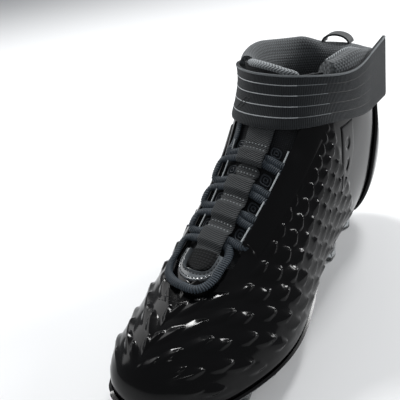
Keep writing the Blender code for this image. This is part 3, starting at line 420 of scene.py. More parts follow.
class Shaft:
    """Horizontal sections of the last about an upright axis in the ankle."""

    axis_share: float = 0.28

    def __init__(self, last: Last) -> None:
        """Make a coarse tree that gives first guesses.

        Args:
            last: the last.
        """
        self.last = last
        self.axis = self.axis_share * last.length
        self.rows = np.linspace(0.001, last.end, 180)
        self.columns = np.linspace(0.0, 1.0, 181)
        points = last.at(self.rows[:, None], self.columns)
        count = len(self.columns)
        faces = []
        for i in range(len(self.rows) - 1):
            for j in range(count - 1):
                k = i * count + j
                faces.append((k, k + count, k + count + 1, k + 1))
        self.tree = BVHTree.FromPolygons([tuple(point) for point in points.reshape(-1, 3)], faces)

    def places(self, turn: Array, height: Array) -> tuple[Array, Array]:
        """Girth line and place round it at turns from the front and heights.

        Args:
            turn: angle from the front, positive over the outer side.
            height: height above the floor.

        Returns:
            Girth lines and places round them, of the same shape.
        """
        turn, height = np.broadcast_arrays(np.asarray(turn, float), np.asarray(height, float))
        shape = turn.shape
        turn, height = turn.ravel(), height.ravel()
        line, around = np.empty(len(turn)), np.empty(len(turn))
        count = len(self.columns) - 1
        for n, (angle, z) in enumerate(zip(turn, height)):
            heading = Vector((math.sin(angle), -math.cos(angle), 0.0))
            index = self.tree.ray_cast(Vector((0.0, self.axis, z)), heading)[2]
            if index is None:
                line[n], around[n] = self.rows[-2], 0.5 - 0.5 * angle / math.pi % 1.0
                continue
            line[n] = self.rows[index // count] + 0.5 * (self.rows[1] - self.rows[0])
            around[n] = self.columns[index % count] + 0.5 * (self.columns[1] - self.columns[0])
        step_line, step_around = 0.4 * MM, 0.002
        sine, cosine = np.sin(turn), np.cos(turn)

        def miss(line_now: Array, around_now: Array) -> Array:
            """How far guesses are off, across the heading and in height.

            Args:
                line_now: girth lines of the guesses.
                around_now: places round them.

            Returns:
                Two distances for each guess.
            """
            point = self.last.at(line_now, around_now)
            across = point[:, 0] * cosine + (point[:, 1] - self.axis) * sine
            return np.stack([across, point[:, 2] - height], axis=-1)

        for _ in range(4):
            here = miss(line, around)
            by_line = (miss(line + step_line, around) - miss(line - step_line, around)) / (2 * step_line)
            by_around = miss(line, around + step_around) - miss(line, around - step_around)
            by_around /= 2 * step_around
            det = by_line[:, 0] * by_around[:, 1] - by_line[:, 1] * by_around[:, 0]
            det = np.where(np.abs(det) < 1e-9, 1e-9, det)
            move_line = (here[:, 0] * by_around[:, 1] - here[:, 1] * by_around[:, 0]) / det
            move_around = (by_line[:, 0] * here[:, 1] - by_line[:, 1] * here[:, 0]) / det
            line -= np.clip(move_line, -4 * MM, 4 * MM)
            around -= np.clip(move_around, -0.02, 0.02)
        return line.reshape(shape), around.reshape(shape)

    def point(self, turn: Array, height: Array, depth: Array | float) -> Array:
        """Points at turns, heights and depths outside the last."""
        line, around = self.places(turn, height)
        return self.last.raised(line, around, depth)


LAST = Last()
THROAT = Throat(LAST)
SHAFT = Shaft(LAST)


def part_shift() -> Array:
    """Move from the last's own coordinates to the part's frame, read off the toe stud.

    Returns:
        Sideways and lengthwise move, with no rise.
    """
    low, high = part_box("stud_toe")
    middle = (np.array(low) + np.array(high)) / 2
    shift = middle - LAST.at(LAST.girth(2.55), 0.0)
    shift[2] = 0.0
    return shift


SHIFT = part_shift()


class Pattern(Enum):
    """How the surface of a finish repeats."""

    PLAIN = "plain"
    RIBS = "ribs"
    TWILL = "twill"
    HONEYCOMB = "honeycomb"
    KNIT = "knit"
    BRAID = "braid"
    MESH = "mesh"
    CLEAR = "clear"


@dataclass(frozen=True)
class Finish:
    """One finish: what it is made of, its colours and its pattern."""

    name: str
    slot: str
    # Colours at the two ends of the tone ramp: random smudge tone, and on patterned finishes also painted
    # shade in the pattern's hollows.
    light: str
    dark: str
    roughness: float
    pattern: Pattern = Pattern.PLAIN
    pitch: float = 1.0
    relief: float = 0.1
    spread: float = 0.08
    sheen: float = 0.0
    specular: float = 0.5
    ior: float = 1.5
    grain: float = 3.0


# Thermoplastic film fused over the textile upper: deep black with small sharp reflections.
COATED = Finish("coated_film", "coated_upper", "#060607", "#020203", 0.14, grain=22, specular=0.16)
# Injection-moulded TPU of the plate, counter and stud cores: black, waxier than the film.
MOULDED = Finish("moulded_tpu", "moulded_black", "#09090a", "#040405", 0.19, grain=16, specular=0.22)
# The same TPU, tinted grey, round the throat's toe end: a pale smoky rim with a soft gloss.
SOFT_TPU = Finish("moulded_tab", "moulded_black", "#6f7478", "#3a3e41", 0.17, grain=9)
# Clear cast TPU, faintly grey: the floor shows through it, its edges catch the light.
CLEAR = Finish("clear_tpu", "clear_stud", "#e4e8ea", "#d4dadd", 0.05, Pattern.CLEAR)
# Round polyester braid, slate blue, its strands crossing the lace as tight ribs. They are
# drawn 1.5 mm apart, because the real 1 mm is too fine to show.
LACE = Finish(
    "polyester_braid", "lace_braid", "#2d3740", "#070a0d", 0.58,
    Pattern.BRAID, 1.5, 0.25, sheen=0.08, specular=0.3,
)
# Grosgrain webbing, charcoal, woven as a slanted twill. Its lines are drawn 1.8 mm apart,
# where the real ones are about 1 mm.
RIBBON = Finish(
    "grosgrain_webbing", "webbing", "#35383a", "#08090a", 0.64,
    Pattern.TWILL, 1.8, 0.34, sheen=0.06, specular=0.2,
)
# Woven polyester webbing of the heel loop: dull charcoal with straight ribs at their real 1 mm.
LOOP = Finish("dark_webbing", "webbing", "#2d3032", "#121314", 0.66, Pattern.RIBS, 1.0, 0.15, sheen=0.10)
# Covered elastic, its rubber cords standing as upright ribs, drawn 1.25 mm apart for 0.9 mm.
ELASTIC = Finish(
    "ribbed_elastic", "elastic_strap", "#25282b", "#08090a", 0.70,
    Pattern.RIBS, 1.25, 0.24, sheen=0.08, specular=0.2,
)
# Overlocked polyester thread on the strap's top edge: mid grey and matt.
# In the pinstripes' middle stretch this grey thread stands for the pale one in painted half shade.
EDGE_THREAD = Finish("strap_binding", "elastic_strap", "#6c7174", "#3d4042", 0.60, Pattern.RIBS, 0.8, 0.08)
# Bright polyester thread woven into the strap: pale lines with a slight gloss.
PINSTRIPE = Finish("pinstripe_thread", "elastic_strap", "#a9adb0", "#72777a", 0.50, Pattern.RIBS, 0.8, 0.05)
# The same pale thread, painted black as shade past the point where the lit stretch ends round the strap: only
# its relief shows.
SHADED_STRIPE = Finish("shaded_stripe_thread", "elastic_strap", "#0c0d0e", "#060607", 0.60, Pattern.RIBS, 0.8, 0.05)
# Padded knit of the tongue, near black with an open mesh, drawn at 1.4 mm for about 0.8 mm. Its near black is
# partly the knit's own dark colour and partly painted shade, where it lies sunk under the laces and ribbons.
TONGUE = Finish(
    "quilted_knit", "tongue_mesh", "#1a1d21", "#050607", 0.72,
    Pattern.MESH, 1.4, 0.28, sheen=0.04, specular=0.2,
)
# Bonded film squares on the tongue, slate and slightly shiny.
FRAME = Finish(
    "bonded_film", "tongue_mesh", "#2b3138", "#12161a", 0.42,
    Pattern.RIBS, 1.0, 0.05, specular=0.3,
)
# Chevron knit of the tongue's rolled edge, the palest cloth of the shoe. Its folds are drawn
# 2.2 mm wide, where the real ones are about 1.5 mm.
KNIT = Finish(
    "chevron_knit", "tongue_mesh", "#8b9093", "#1a1c1e", 0.78,
    Pattern.KNIT, 2.2, 0.5, sheen=0.15,
)
# Spacer mesh of the collar, with open hexagons over the foam, their hollows painted dark as shade, drawn at
# 2.5 mm for about 2 mm.
MESH = Finish(
    "spacer_mesh", "collar_mesh", "#505457", "#0c0e0f", 0.80,
    Pattern.HONEYCOMB, 2.5, 0.30, sheen=0.12,
)
# Warp-knit vent of the throat: dark threads, with painted shade darkening the gaps, drawn at 2.1 mm for about
# 1.2 mm.
VENT = Finish(
    "vent_knit", "tongue_mesh", "#16181a", "#020202", 0.72,
    Pattern.MESH, 2.1, 0.35, sheen=0.02, specular=0.12,
)
# Brushed tricot behind the film: dull charcoal with hardly any weave.
LINING = Finish("lining_mesh", "collar_mesh", "#2c2f32", "#101214", 0.85, Pattern.MESH, 1.2, 0.10, sheen=0.08)
# Cloth laminated on the foam insole: flat dark grey.
INSOLE = Finish("insole_cloth", "foam_sheet", "#222427", "#0f1011", 0.88, Pattern.MESH, 1.0, 0.06)
# Piping of pale polyester cord in the folded edges: light lines with a slight gloss.
PIPING = Finish("pale_piping", "webbing", "#a6abad", "#777c7f", 0.40, Pattern.RIBS, 0.7, 0.04)
# Bonded sewing thread, light grey: it stands out as dashes on the webbing.
THREAD = Finish("grey_thread", "webbing", "#8f9496", "#5d6163", 0.60, Pattern.RIBS, 0.5, 0.03)
# The same thread in black: its dashes show by their relief.
DARK_THREAD = Finish("black_thread", "webbing", "#050506", "#020203", 0.70, Pattern.RIBS, 0.5, 0.03)
MATHS = "ShaderNodeMath"
# Row spacing and slant of a hexagonal mesh, as shares of its pitch
HEX_ROW = 0.87
HEX_SLANT = 0.577


def linear_colour(code: str) -> tuple[float, float, float, float]:
    """Linear colour of an sRGB hex code.

    Args:
        code: hash mark and six digits.

    Returns:
        Red, green, blue and alpha.
    """
    shares = [int(code[i : i + 2], 16) / 255 for i in (1, 3, 5)]
    values = [c / 12.92 if c <= 0.04045 else ((c + 0.055) / 1.055) ** 2.4 for c in shares]
    return (*values, 1.0)


def add_node(
    tree: bpy.types.NodeTree, kind: str, settings: dict | None = None, inputs: dict | None = None
) -> bpy.types.Node:
    """Node with its settings, values and links.

    Args:
        tree: node tree that it joins.
        kind: Blender's type name of the node.
        settings: attributes to set on it.
        inputs: values, sockets, or nodes for their first output, by input name or number.

    Returns:
        The new node.
    """
    node = tree.nodes.new(kind)
    for name, value in (settings or {}).items():
        setattr(node, name, value)
    for key, value in (inputs or {}).items():
        value = value.outputs[0] if isinstance(value, bpy.types.Node) else value
        if isinstance(value, bpy.types.NodeSocket):
            tree.links.new(value, node.inputs[key])
        else:
            node.inputs[key].default_value = value
    return node


class FinishShop:
    """Makes the materials of the finishes, each once."""

    def __init__(self) -> None:
        """Start with no material made."""
        self.made: dict[str, bpy.types.Material] = {}

    def material(self, finish: Finish) -> bpy.types.Material:
        """Material of a finish.

        Args:
            finish: finish to look up or make.

        Returns:
            Its material.
        """
        if finish.name not in self.made:
            self.made[finish.name] = self._make(finish)
        return self.made[finish.name]

    def _wave(self, tree: bpy.types.NodeTree, value: object, pitch: float) -> bpy.types.Node:
        """Sine of a length, from 0 to 1, with one wave for each pitch.

        Args:
            tree: node tree of the material.
            value: node or socket that gives the length.
            pitch: length of a wave.

        Returns:
            Node whose first output is the wave.
        """
        turn = add_node(tree, MATHS, {"operation": "MULTIPLY"}, {0: value, 1: 2 * math.pi / pitch})
        sine = add_node(tree, MATHS, {"operation": "SINE"}, {0: turn})
        return add_node(tree, MATHS, {"operation": "MULTIPLY_ADD"}, {0: sine, 1: 0.5, 2: 0.5})

    def _height(self, tree: bpy.types.NodeTree, finish: Finish) -> bpy.types.Node:
        """Height of the finish's pattern, from 0 to 1, on the piece's own UV in metres.

        Args:
            tree: node tree of the material.
            finish: finish with its pattern and pitch.

        Returns:
            Node whose first output is the height.
        """
        uv = add_node(tree, "ShaderNodeUVMap", {"uv_map": "surface"})
        split = add_node(tree, "ShaderNodeSeparateXYZ", inputs={0: uv})
        u, v = split.outputs[0], split.outputs[1]
        pitch = finish.pitch * MM
        if finish.pattern in (Pattern.RIBS, Pattern.BRAID):
            return self._wave(tree, u, pitch)
        if finish.pattern in (Pattern.TWILL, Pattern.KNIT):
            across = v
            if finish.pattern is Pattern.KNIT:
                across = add_node(tree, MATHS, {"operation": "PINGPONG"}, {0: v, 1: pitch})
            slant = add_node(tree, MATHS, {"operation": "MULTIPLY_ADD"}, {0: across, 1: 0.9, 2: u})
            return self._wave(tree, slant, pitch)
        if finish.pattern is Pattern.HONEYCOMB:
            waves = [self._wave(tree, v, pitch * HEX_ROW)]
            for side in (HEX_SLANT, -HEX_SLANT):
                slant = add_node(tree, MATHS, {"operation": "MULTIPLY_ADD"}, {0: v, 1: side, 2: u})
                waves.append(self._wave(tree, slant, pitch))
            pair = add_node(tree, MATHS, {"operation": "ADD"}, {0: waves[0], 1: waves[1]})
            total = add_node(tree, MATHS, {"operation": "ADD"}, {0: pair, 1: waves[2]})
            half = add_node(tree, MATHS, {"operation": "MULTIPLY"}, {0: total, 1: 0.5})
            return add_node(tree, MATHS, {"operation": "SUBTRACT"}, {0: 1.2, 1: half})
        ribs, rows = self._wave(tree, u, pitch), self._wave(tree, v, pitch)
        return add_node(tree, MATHS, {"operation": "MULTIPLY"}, {0: ribs, 1: rows})

    def _make(self, finish: Finish) -> bpy.types.Material:
        """Build the node tree of one finish.

        Args:
            finish: finish to build.

        Returns:
            The new material.
        """
        material = bpy.data.materials.new(finish.name)
        material.use_nodes = True
        tree = material.node_tree
        shader = tree.nodes["Principled BSDF"]
        shader.inputs["IOR"].default_value = finish.ior
        shader.inputs["Sheen Weight"].default_value = finish.sheen
        shader.inputs["Sheen Roughness"].default_value = 0.4
        shader.inputs["Specular IOR Level"].default_value = finish.specular
        place = add_node(tree, "ShaderNodeTexCoord").outputs["Object"]
        spots = {"Vector": place, "Scale": 1000 / finish.grain / 3, "Detail": 4.0}
        smudge = add_node(tree, "ShaderNodeTexNoise", inputs=spots)
        tone_and_hollow_shade = smudge
        if finish.pattern not in (Pattern.PLAIN, Pattern.CLEAR):
            height = self._height(tree, finish)
            hairs = {"Vector": place, "Scale": 1400.0, "Detail": 2.0}
            fibre = add_node(tree, "ShaderNodeTexNoise", inputs=hairs)
            # Painted shade: the pattern's height also drives the colour, darker in the weave's hollows and
            # grooves, over the random smudge tone.
            weave = add_node(tree, MATHS, {"operation": "MULTIPLY"}, {0: height, 1: 0.7})
            rough = add_node(tree, MATHS, {"operation": "MULTIPLY_ADD"}, {0: fibre, 1: 0.5, 2: weave})
            hollow_shade = add_node(tree, MATHS, {"operation": "SUBTRACT"}, {0: rough, 1: 0.12})
            tone_and_hollow_shade = add_node(tree, MATHS, {"operation": "MULTIPLY_ADD"}, {0: smudge, 1: 0.35, 2: hollow_shade})
            standing = {"Height": rough, "Distance": finish.relief * MM, "Strength": 0.9}
            bump = add_node(tree, "ShaderNodeBump", inputs=standing)
            tree.links.new(bump.outputs[0], shader.inputs["Normal"])
        colour = add_node(tree, "ShaderNodeValToRGB", inputs={0: tone_and_hollow_shade})
        for stop, place_on_ramp, code in ((0, 0.2, finish.dark), (1, 0.8, finish.light)):
            colour.color_ramp.elements[stop].position = place_on_ramp
            colour.color_ramp.elements[stop].color = linear_colour(code)
        tree.links.new(colour.outputs[0], shader.inputs["Base Color"])
        low = finish.roughness - finish.spread / 2
        gloss = add_node(tree, MATHS, {"operation": "MULTIPLY_ADD"}, {0: smudge, 1: finish.spread, 2: low})
        tree.links.new(gloss.outputs[0], shader.inputs["Roughness"])
        if finish.pattern is Pattern.CLEAR:
            shader.inputs["Transmission Weight"].default_value = 0.92
        return material


SHOP = FinishShop()


def new_object(name: str, data: bpy.types.ID) -> bpy.types.Object:
    """Object with its data, linked to the scene.

    Args:
        name: its name.
        data: its mesh, light or camera.

    Returns:
        The new object.
    """
    thing = bpy.data.objects.new(name, data)
    bpy.context.scene.collection.objects.link(thing)
    return thing


def grid_faces(rows: int, columns: int, wrap: bool) -> Array:
    """Quads between neighbouring rows and columns of a grid.

    Args:
        rows: number of rows.
        columns: number of columns.
        wrap: whether the last column joins the first.

    Returns:
        Four point numbers for each quad.
    """
    i = np.arange(rows - 1)[:, None]
    j = np.arange(columns if wrap else columns - 1)[None, :]
    k = (j + 1) % columns
    here = i * columns
    corners = [here + j, here + columns + j, here + columns + k, here + k]
    return np.stack([np.broadcast_to(c, (len(i), j.size)) for c in corners], axis=-1).reshape(-1, 4)


def grid_lengths(grid: Array) -> Array:
    """Mean length along the rows and columns of a grid, in metres, as UV of its points.

    Args:
        grid: points by row and column.

    Returns:
        UV by row and column.
    """
    along = np.linalg.norm(np.diff(grid, axis=0), axis=2).mean(axis=1)
    across = np.linalg.norm(np.diff(grid, axis=1), axis=2).mean(axis=0)
    u = np.concatenate([[0.0], np.cumsum(along)])
    v = np.concatenate([[0.0], np.cumsum(across)])
    return np.stack(np.meshgrid(u, v, indexing="ij"), axis=-1)


class Piece:
    """Collects meshes of one visible piece and hands it to the frame."""

    def __init__(self, name: str, finish: Finish) -> None:
        """Start an empty piece with its first finish.

        Args:
            name: name of the piece.
            finish: its own finish.
        """
        self.name = name
        self.finishes = [finish]
        self.points: list[Array] = []
        self.uvs: list[Array] = []
        self.faces: list[Array] = []
        self.slots: list[Array] = []
        self.count = 0

    def _add(self, points: Array, uv: Array, faces: Array, slots: Array) -> None:
        """Join points and quads, turned so that the closed shape faces outwards.

        Args:
            points: points of a closed shape.
            uv: UV of each point.
            faces: its quads.
            slots: number of the finish of each quad.
        """
        a, b, c, d = (points[faces[:, k]] for k in range(4))
        volume = np.einsum("ij,ij->i", a, np.cross(b, c)) + np.einsum("ij,ij->i", a, np.cross(c, d))
        if volume.sum() < 0:
            faces = faces[:, ::-1]
        self.points.append(points)
        self.uvs.append(uv)
        self.faces.append(faces + self.count)
        self.slots.append(slots)
        self.count += len(points)

    def slot(self, finish: Finish | None) -> int:
        """Number of a finish on the piece, added if new.

        Args:
            finish: finish, or None for the piece's own.

        Returns:
            Its number.
        """
        if finish is None:
            return 0
        if finish not in self.finishes:
            self.finishes.append(finish)
        return self.finishes.index(finish)

    def slab(
        self, high: Array, low: Array, top: Finish | None = None, under: Finish | None = None
    ) -> Piece:
        """Closed body between two skins of the same grid.

        Args:
            high: outer skin, as rows and columns of points.
            low: inner skin.
            top: finish of the outer skin and rim, the piece's own if left out.
            under: finish of the inner skin.

        Returns:
            The piece itself.
        """
        rows, columns = high.shape[:2]
        count = rows * columns
        faces = grid_faces(rows, columns, False)
        border = np.concatenate(
            [
                np.arange(columns),
                np.arange(1, rows) * columns + columns - 1,
                (rows - 1) * columns + np.arange(columns - 2, -1, -1),
                np.arange(rows - 2, 0, -1) * columns,
            ]
        )
        after = np.roll(border, -1)
        walls = np.stack([border, border + count, after + count, after], axis=-1)
        uv = grid_lengths(high).reshape(-1, 2)
        everything = np.concatenate([faces[:, ::-1], faces + count, walls])
        slots = np.full(len(everything), self.slot(top))
        slots[: len(faces)] = self.slot(under or top)
        points = np.concatenate([low.reshape(-1, 3), high.reshape(-1, 3)])
        self._add(points, np.concatenate([uv, uv]), everything, slots)
        return self

    def tube(self, rings: Array, finish: Finish | None = None, along: Array | None = None) -> Piece:
        """Closed body lofted through rings of points, with its ends drawn to a point.

        Args:
            rings: rings of points.
            finish: finish of the tube, the piece's own if left out.
            along: lengths along the tube for its pattern, one for each point of the rings.

        Returns:
            The piece itself.
        """
        middles = rings.mean(axis=1, keepdims=True).repeat(rings.shape[1], 1)
        rings = np.concatenate([middles[:1], rings, middles[-1:]])
        rows, columns = rings.shape[:2]
        closed = np.concatenate([rings, rings[:, :1]], axis=1)
        uv = grid_lengths(closed)[:, :-1]
        if along is not None:
            uv[1:-1, :, 0] = along
            uv[0, :, 0], uv[-1, :, 0] = along[0], along[-1]
        uv = uv.reshape(-1, 2)
        faces = grid_faces(rows, columns, True)
        self._add(rings.reshape(-1, 3), uv, faces, np.full(len(faces), self.slot(finish)))
        return self

    def finish(
        self, replaces: Sequence[str] = (), smooth: float = 50.0, padded: float | None = None
    ) -> bpy.types.Object:
        """Make the object and hand it to the frame.

        Args:
            replaces: CAD nodes that it stands for.
            smooth: angle in degrees past which an edge stays sharp.
            padded: how full a padded piece is, or None; not used.

        Returns:
            The new object.
        """
        points = np.concatenate(self.points) + SHIFT
        faces, uv = np.concatenate(self.faces), np.concatenate(self.uvs)
        mesh = bpy.data.meshes.new(self.name)
        mesh.vertices.add(len(points))
        mesh.vertices.foreach_set("co", points.astype(np.float32).ravel())
        mesh.loops.add(faces.size)
        mesh.loops.foreach_set("vertex_index", faces.astype(np.int32).ravel())
        mesh.polygons.add(len(faces))
        mesh.polygons.foreach_set("loop_start", np.arange(0, faces.size, 4, dtype=np.int32))
        mesh.polygons.foreach_set("material_index", np.concatenate(self.slots).astype(np.int32))
        mesh.update(calc_edges=True)
        layer = mesh.uv_layers.new(name="surface")
        layer.data.foreach_set("uv", uv[faces.ravel()].astype(np.float32).ravel())
        edit = bmesh.new()
        edit.from_mesh(mesh)
        bmesh.ops.remove_doubles(edit, verts=edit.verts, dist=1e-6)
        edit.to_mesh(mesh)
        edit.free()
        mesh.shade_smooth()
        mesh.set_sharp_from_angle(angle=math.radians(smooth))
        for finish in self.finishes:
            mesh.materials.append(SHOP.material(finish))
        thing = new_object(self.name, mesh)
        hand_over(thing, self.finishes[0], replaces)
        return thing


def hand_over(
    thing: bpy.types.Object, finish: Finish, replaces: Sequence[str] = ()
) -> None:
    """Tell the frame about a finished piece and log it.

    Args:
        thing: the object.
        finish: finish that names its slot; not used.
        replaces: CAD nodes that it stands for.
    """
    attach(thing, "root")
    if replaces:
        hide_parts(*replaces)
    LOG.info("%s: %d faces", thing.name, len(thing.data.polygons))


def sweep(path: Array, normals: Array, widths: Array, heights: Array, sides: int) -> Array:
    """Rings of an oval section along a path.

    Args:
        path: points of the middle line.
        normals: direction of the section's height at each point.
        widths: full width at each point.
        heights: full height at each point.
        sides: points of each ring.

    Returns:
        Rings of points.
    """
    tangents = np.gradient(path, axis=0)
    tangents /= np.linalg.norm(tangents, axis=1, keepdims=True)
    sideways = np.cross(normals, tangents)
    sideways /= np.linalg.norm(sideways, axis=1, keepdims=True)
    up = np.cross(tangents, sideways)
    angles = np.linspace(0.0, 2 * math.pi, sides, endpoint=False)
    across = (np.asarray(widths) / 2)[:, None] * np.cos(angles)
    lift = (np.asarray(heights) / 2)[:, None] * np.sin(angles)
    return path[:, None] + across[..., None] * sideways[:, None] + lift[..., None] * up[:, None]


class StitchMachine:
    """Sews rows of stitches along paths with Geometry Nodes."""

    def __init__(self) -> None:
        """Build the node group once."""
        self.tree = bpy.data.node_groups.new("stitch_rows", "GeometryNodeTree")
        sockets = self.tree.interface
        sockets.new_socket("Paths", in_out="INPUT", socket_type="NodeSocketGeometry")
        self.keys = {}
        for name, kind in (("Spacing", "Float"), ("Size", "Vector"), ("Finish", "Material")):
            socket = sockets.new_socket(name, in_out="INPUT", socket_type="NodeSocket" + kind)
            self.keys[name] = socket.identifier
        sockets.new_socket("Stitches", in_out="OUTPUT", socket_type="NodeSocketGeometry")
        tree = self.tree
        given = add_node(tree, "NodeGroupInput")
        curve = add_node(tree, "GeometryNodeMeshToCurve", inputs={0: given.outputs["Paths"]})
        length = {"Curve": curve, "Length": given.outputs["Spacing"]}
        spots = add_node(tree, "GeometryNodeResampleCurve", {"mode": "LENGTH"}, length)
        bead = add_node(tree, "GeometryNodeMeshUVSphere", inputs={"Segments": 8, "Rings": 5, "Radius": 0.5})
        tangent = add_node(tree, "GeometryNodeInputTangent")
        up = add_node(tree, "GeometryNodeInputNamedAttribute", {"data_type": "FLOAT_VECTOR"}, {"Name": "up"})
        axes = {"primary_axis": "X", "secondary_axis": "Z"}
        heading = {"Primary Axis": tangent, "Secondary Axis": up}
        lay = add_node(tree, "FunctionNodeAxesToRotation", axes, heading)
        laid = {"Points": spots, "Instance": bead, "Rotation": lay, "Scale": given.outputs["Size"]}
        beads = add_node(tree, "GeometryNodeInstanceOnPoints", inputs=laid)
        real = add_node(tree, "GeometryNodeRealizeInstances", inputs={0: beads})
        dress = {"Geometry": real, "Material": given.outputs["Finish"]}
        dressed = add_node(tree, "GeometryNodeSetMaterial", inputs=dress)
        add_node(tree, "NodeGroupOutput", inputs={0: dressed})

    def sew(
        self,
        name: str,
        paths: Sequence[tuple[Array, Array]],
        size: tuple[float, float, float],
        spacing: float,
        finish: Finish,
    ) -> bpy.types.Object:
        """Sew stitches along paths and hand the piece over.

        Args:
            name: name of the piece.
            paths: points and surface directions of each row.
            size: length, width and height of a stitch.
            spacing: distance between stitches.
            finish: thread.

        Returns:
            The finished object.
        """
        points = np.concatenate([path[0] for path in paths]) + SHIFT
        ups = np.concatenate([path[1] for path in paths])
        edges, start = [], 0
        for path, _ in paths:
            edges += [(start + i, start + i + 1) for i in range(len(path) - 1)]
            start += len(path)
        mesh = bpy.data.meshes.new(name)
        mesh.from_pydata([tuple(point) for point in points], edges, [])
        mesh.attributes.new("up", "FLOAT_VECTOR", "POINT").data.foreach_set("vector", ups.ravel())
        thing = new_object(name, mesh)
        modifier = thing.modifiers.new("stitches", "NODES")
        modifier.node_group = self.tree
        modifier[self.keys["Spacing"]] = spacing
        modifier[self.keys["Size"]] = size
        modifier[self.keys["Finish"]] = SHOP.material(finish)
        bpy.context.view_layer.update()
        made = bpy.data.meshes.new_from_object(thing.evaluated_get(bpy.context.evaluated_depsgraph_get()))
        thing.modifiers.remove(modifier)
        thing.data = made
        made.name = name
        made.shade_smooth()
        hand_over(thing, finish)
        return thing


MACHINE = StitchMachine()


def plate_edge(line: float) -> float:
    """Place round the last where the plate's rim ends.

    Args:
        line: girth line.

    Returns:
        Place round it.
    """
    underside = float(LAST.at(line, 0.0)[2])
    if line > LAST.girth(8):
        underside = min(underside, LAST.sole + LAST.rise)
    return LAST.around_at_height(line, underside + RIM_HEIGHT)


@dataclass
class Relief:
    """Scales and waves moulded in the upper, as a height over the last.

    Each scale is a tooth that ramps up from its toe-side root to a free tip, which points
    to the heel and a little outwards. They stand in staggered rows down each side.
    """

    pitch_toe: float = 21 * MM
    pitch_ankle: float = 12.5 * MM
    row: float = 10.0 * MM
    height: float = 1.9 * MM
    overlap: float = 1.08
    low_share: float = 0.56
    top_share: float = 0.42
    soft: float = 0.8 * MM
    vamp_gain: float = 0.30

    def __post_init__(self) -> None:
        """Table the counts of scales along the girth lines."""
        lines = LAST.lines
        share = smooth_step(lines, LAST.girth(4), LAST.girth(8) - LAST.girth(4))
        pitch = self.pitch_toe + (self.pitch_ankle - self.pitch_toe) * share
        steps = np.diff(lines) / (pitch[1:] + pitch[:-1]) * 2
        self.counts = np.concatenate([[0.0], np.cumsum(steps)])
        self.pitches = pitch
        half_girth = LAST.girth_from_top(lines, 0.25)
        ball = half_girth[np.argmin(np.abs(lines - LAST.girth(6)))]
        self.rows = self.row * np.minimum(1.0, half_girth / ball) ** 0.6

    def at(self, line: Array, around: Array) -> Array:
        """Height of the relief at places on the last.

        Args:
            line: girth lines.
            around: places round them.

        Returns:
            Heights in metres.
        """
        line, around = np.broadcast_arrays(line, around)
        girth = LAST.girth_from_top(line, around)
        side = np.where(girth >= 0, 1.0, -1.0)
        along = np.interp(line, LAST.lines, self.counts)
        pitch = np.interp(line, LAST.lines, self.pitches)
        row = np.interp(line, LAST.lines, self.rows)
        across = np.abs(girth) / row
        vamp = 1.0 - smooth_step(line, LAST.girth(5), LAST.girth(8) - LAST.girth(5))
        lean = np.radians(8.0 + 22.0 * vamp)
        total = np.zeros(line.shape)
        base_row = np.floor(across)
        for row_step in (-1, 0, 1, 2):
            number = base_row + row_step
            middle = number + 0.5
            stagger = 0.5 * np.mod(number, 2) + 0.13 * np.sin(number * 2.4 + side)
            nearest = np.ceil(along - stagger)
            for tip_step in (-1, 0, 1, 2):
                tip = nearest + tip_step + stagger
                ahead = (tip - along) * pitch
                aside = (across - middle) * row
                back = ahead * np.cos(lean) - aside * np.sin(lean)
                out = ahead * np.sin(lean) + aside * np.cos(lean)
                length = pitch * self.overlap
                share = np.clip(back / length, 0.0, 1.0)
                low = self.low_share * row * np.minimum(1.0, 2.6 * share + 1e-6) ** 0.55
                low = low * (1 - 0.35 * smooth_step(share, 0.55, 0.45))
                top = self.top_share * row * np.minimum(1.0, 3.0 * share + 1e-6)
                crest = 0.10 * row
                upper = np.clip((out + top) / (crest + top), 0.0, 1.0)
                crown = np.where(out < crest, upper**1.1, 1.0 - 0.12 * (out - crest) / row)
                ramp = (1.0 - share) ** 1.25
                sharp = self.soft * (1 + 2.6 * vamp)
                edge = smooth_step(np.minimum(low - out, back * 0.9) / sharp)
                inside = (back > 0) & (back < length) & (out < low) & (out > -top)
                total = np.maximum(total, np.where(inside, ramp * crown * edge, 0.0))
        return total * self.height * (1 + self.vamp_gain * vamp) * self._mask(line, around)

    def _mask(self, line: Array, around: Array) -> Array:
        """Where the relief fades: at the throat, the rim, the heel and the very toe.

        Args:
            line: girth lines.
            around: places round them.

        Returns:
            Shares from 0 to 1.
        """
        point = LAST.at(line, around)
        rim = smooth_step(point[..., 2], 30 * MM, 9 * MM)
        half = THROAT.half(line)
        off_middle = np.abs(point[..., 0] - THROAT.centre(line)) - half
        up_front = smooth_step(line - THROAT.start, -14 * MM, 10 * MM)
        throat = 1.0 - up_front * (1.0 - smooth_step(off_middle, 8.5 * MM, 4 * MM))
        rear = np.clip(43 * MM + (100 * MM - point[..., 2]) * 0.38, 42 * MM, 68 * MM)
        heel = 1.0 - smooth_step(point[..., 1], rear, 5 * MM)
        toe = smooth_step(line, 15 * MM, 22 * MM)
        ankle = 1.0 - 0.30 * smooth_step(point[..., 2], 85 * MM, 30 * MM)
        return rim * throat * heel * toe * ankle


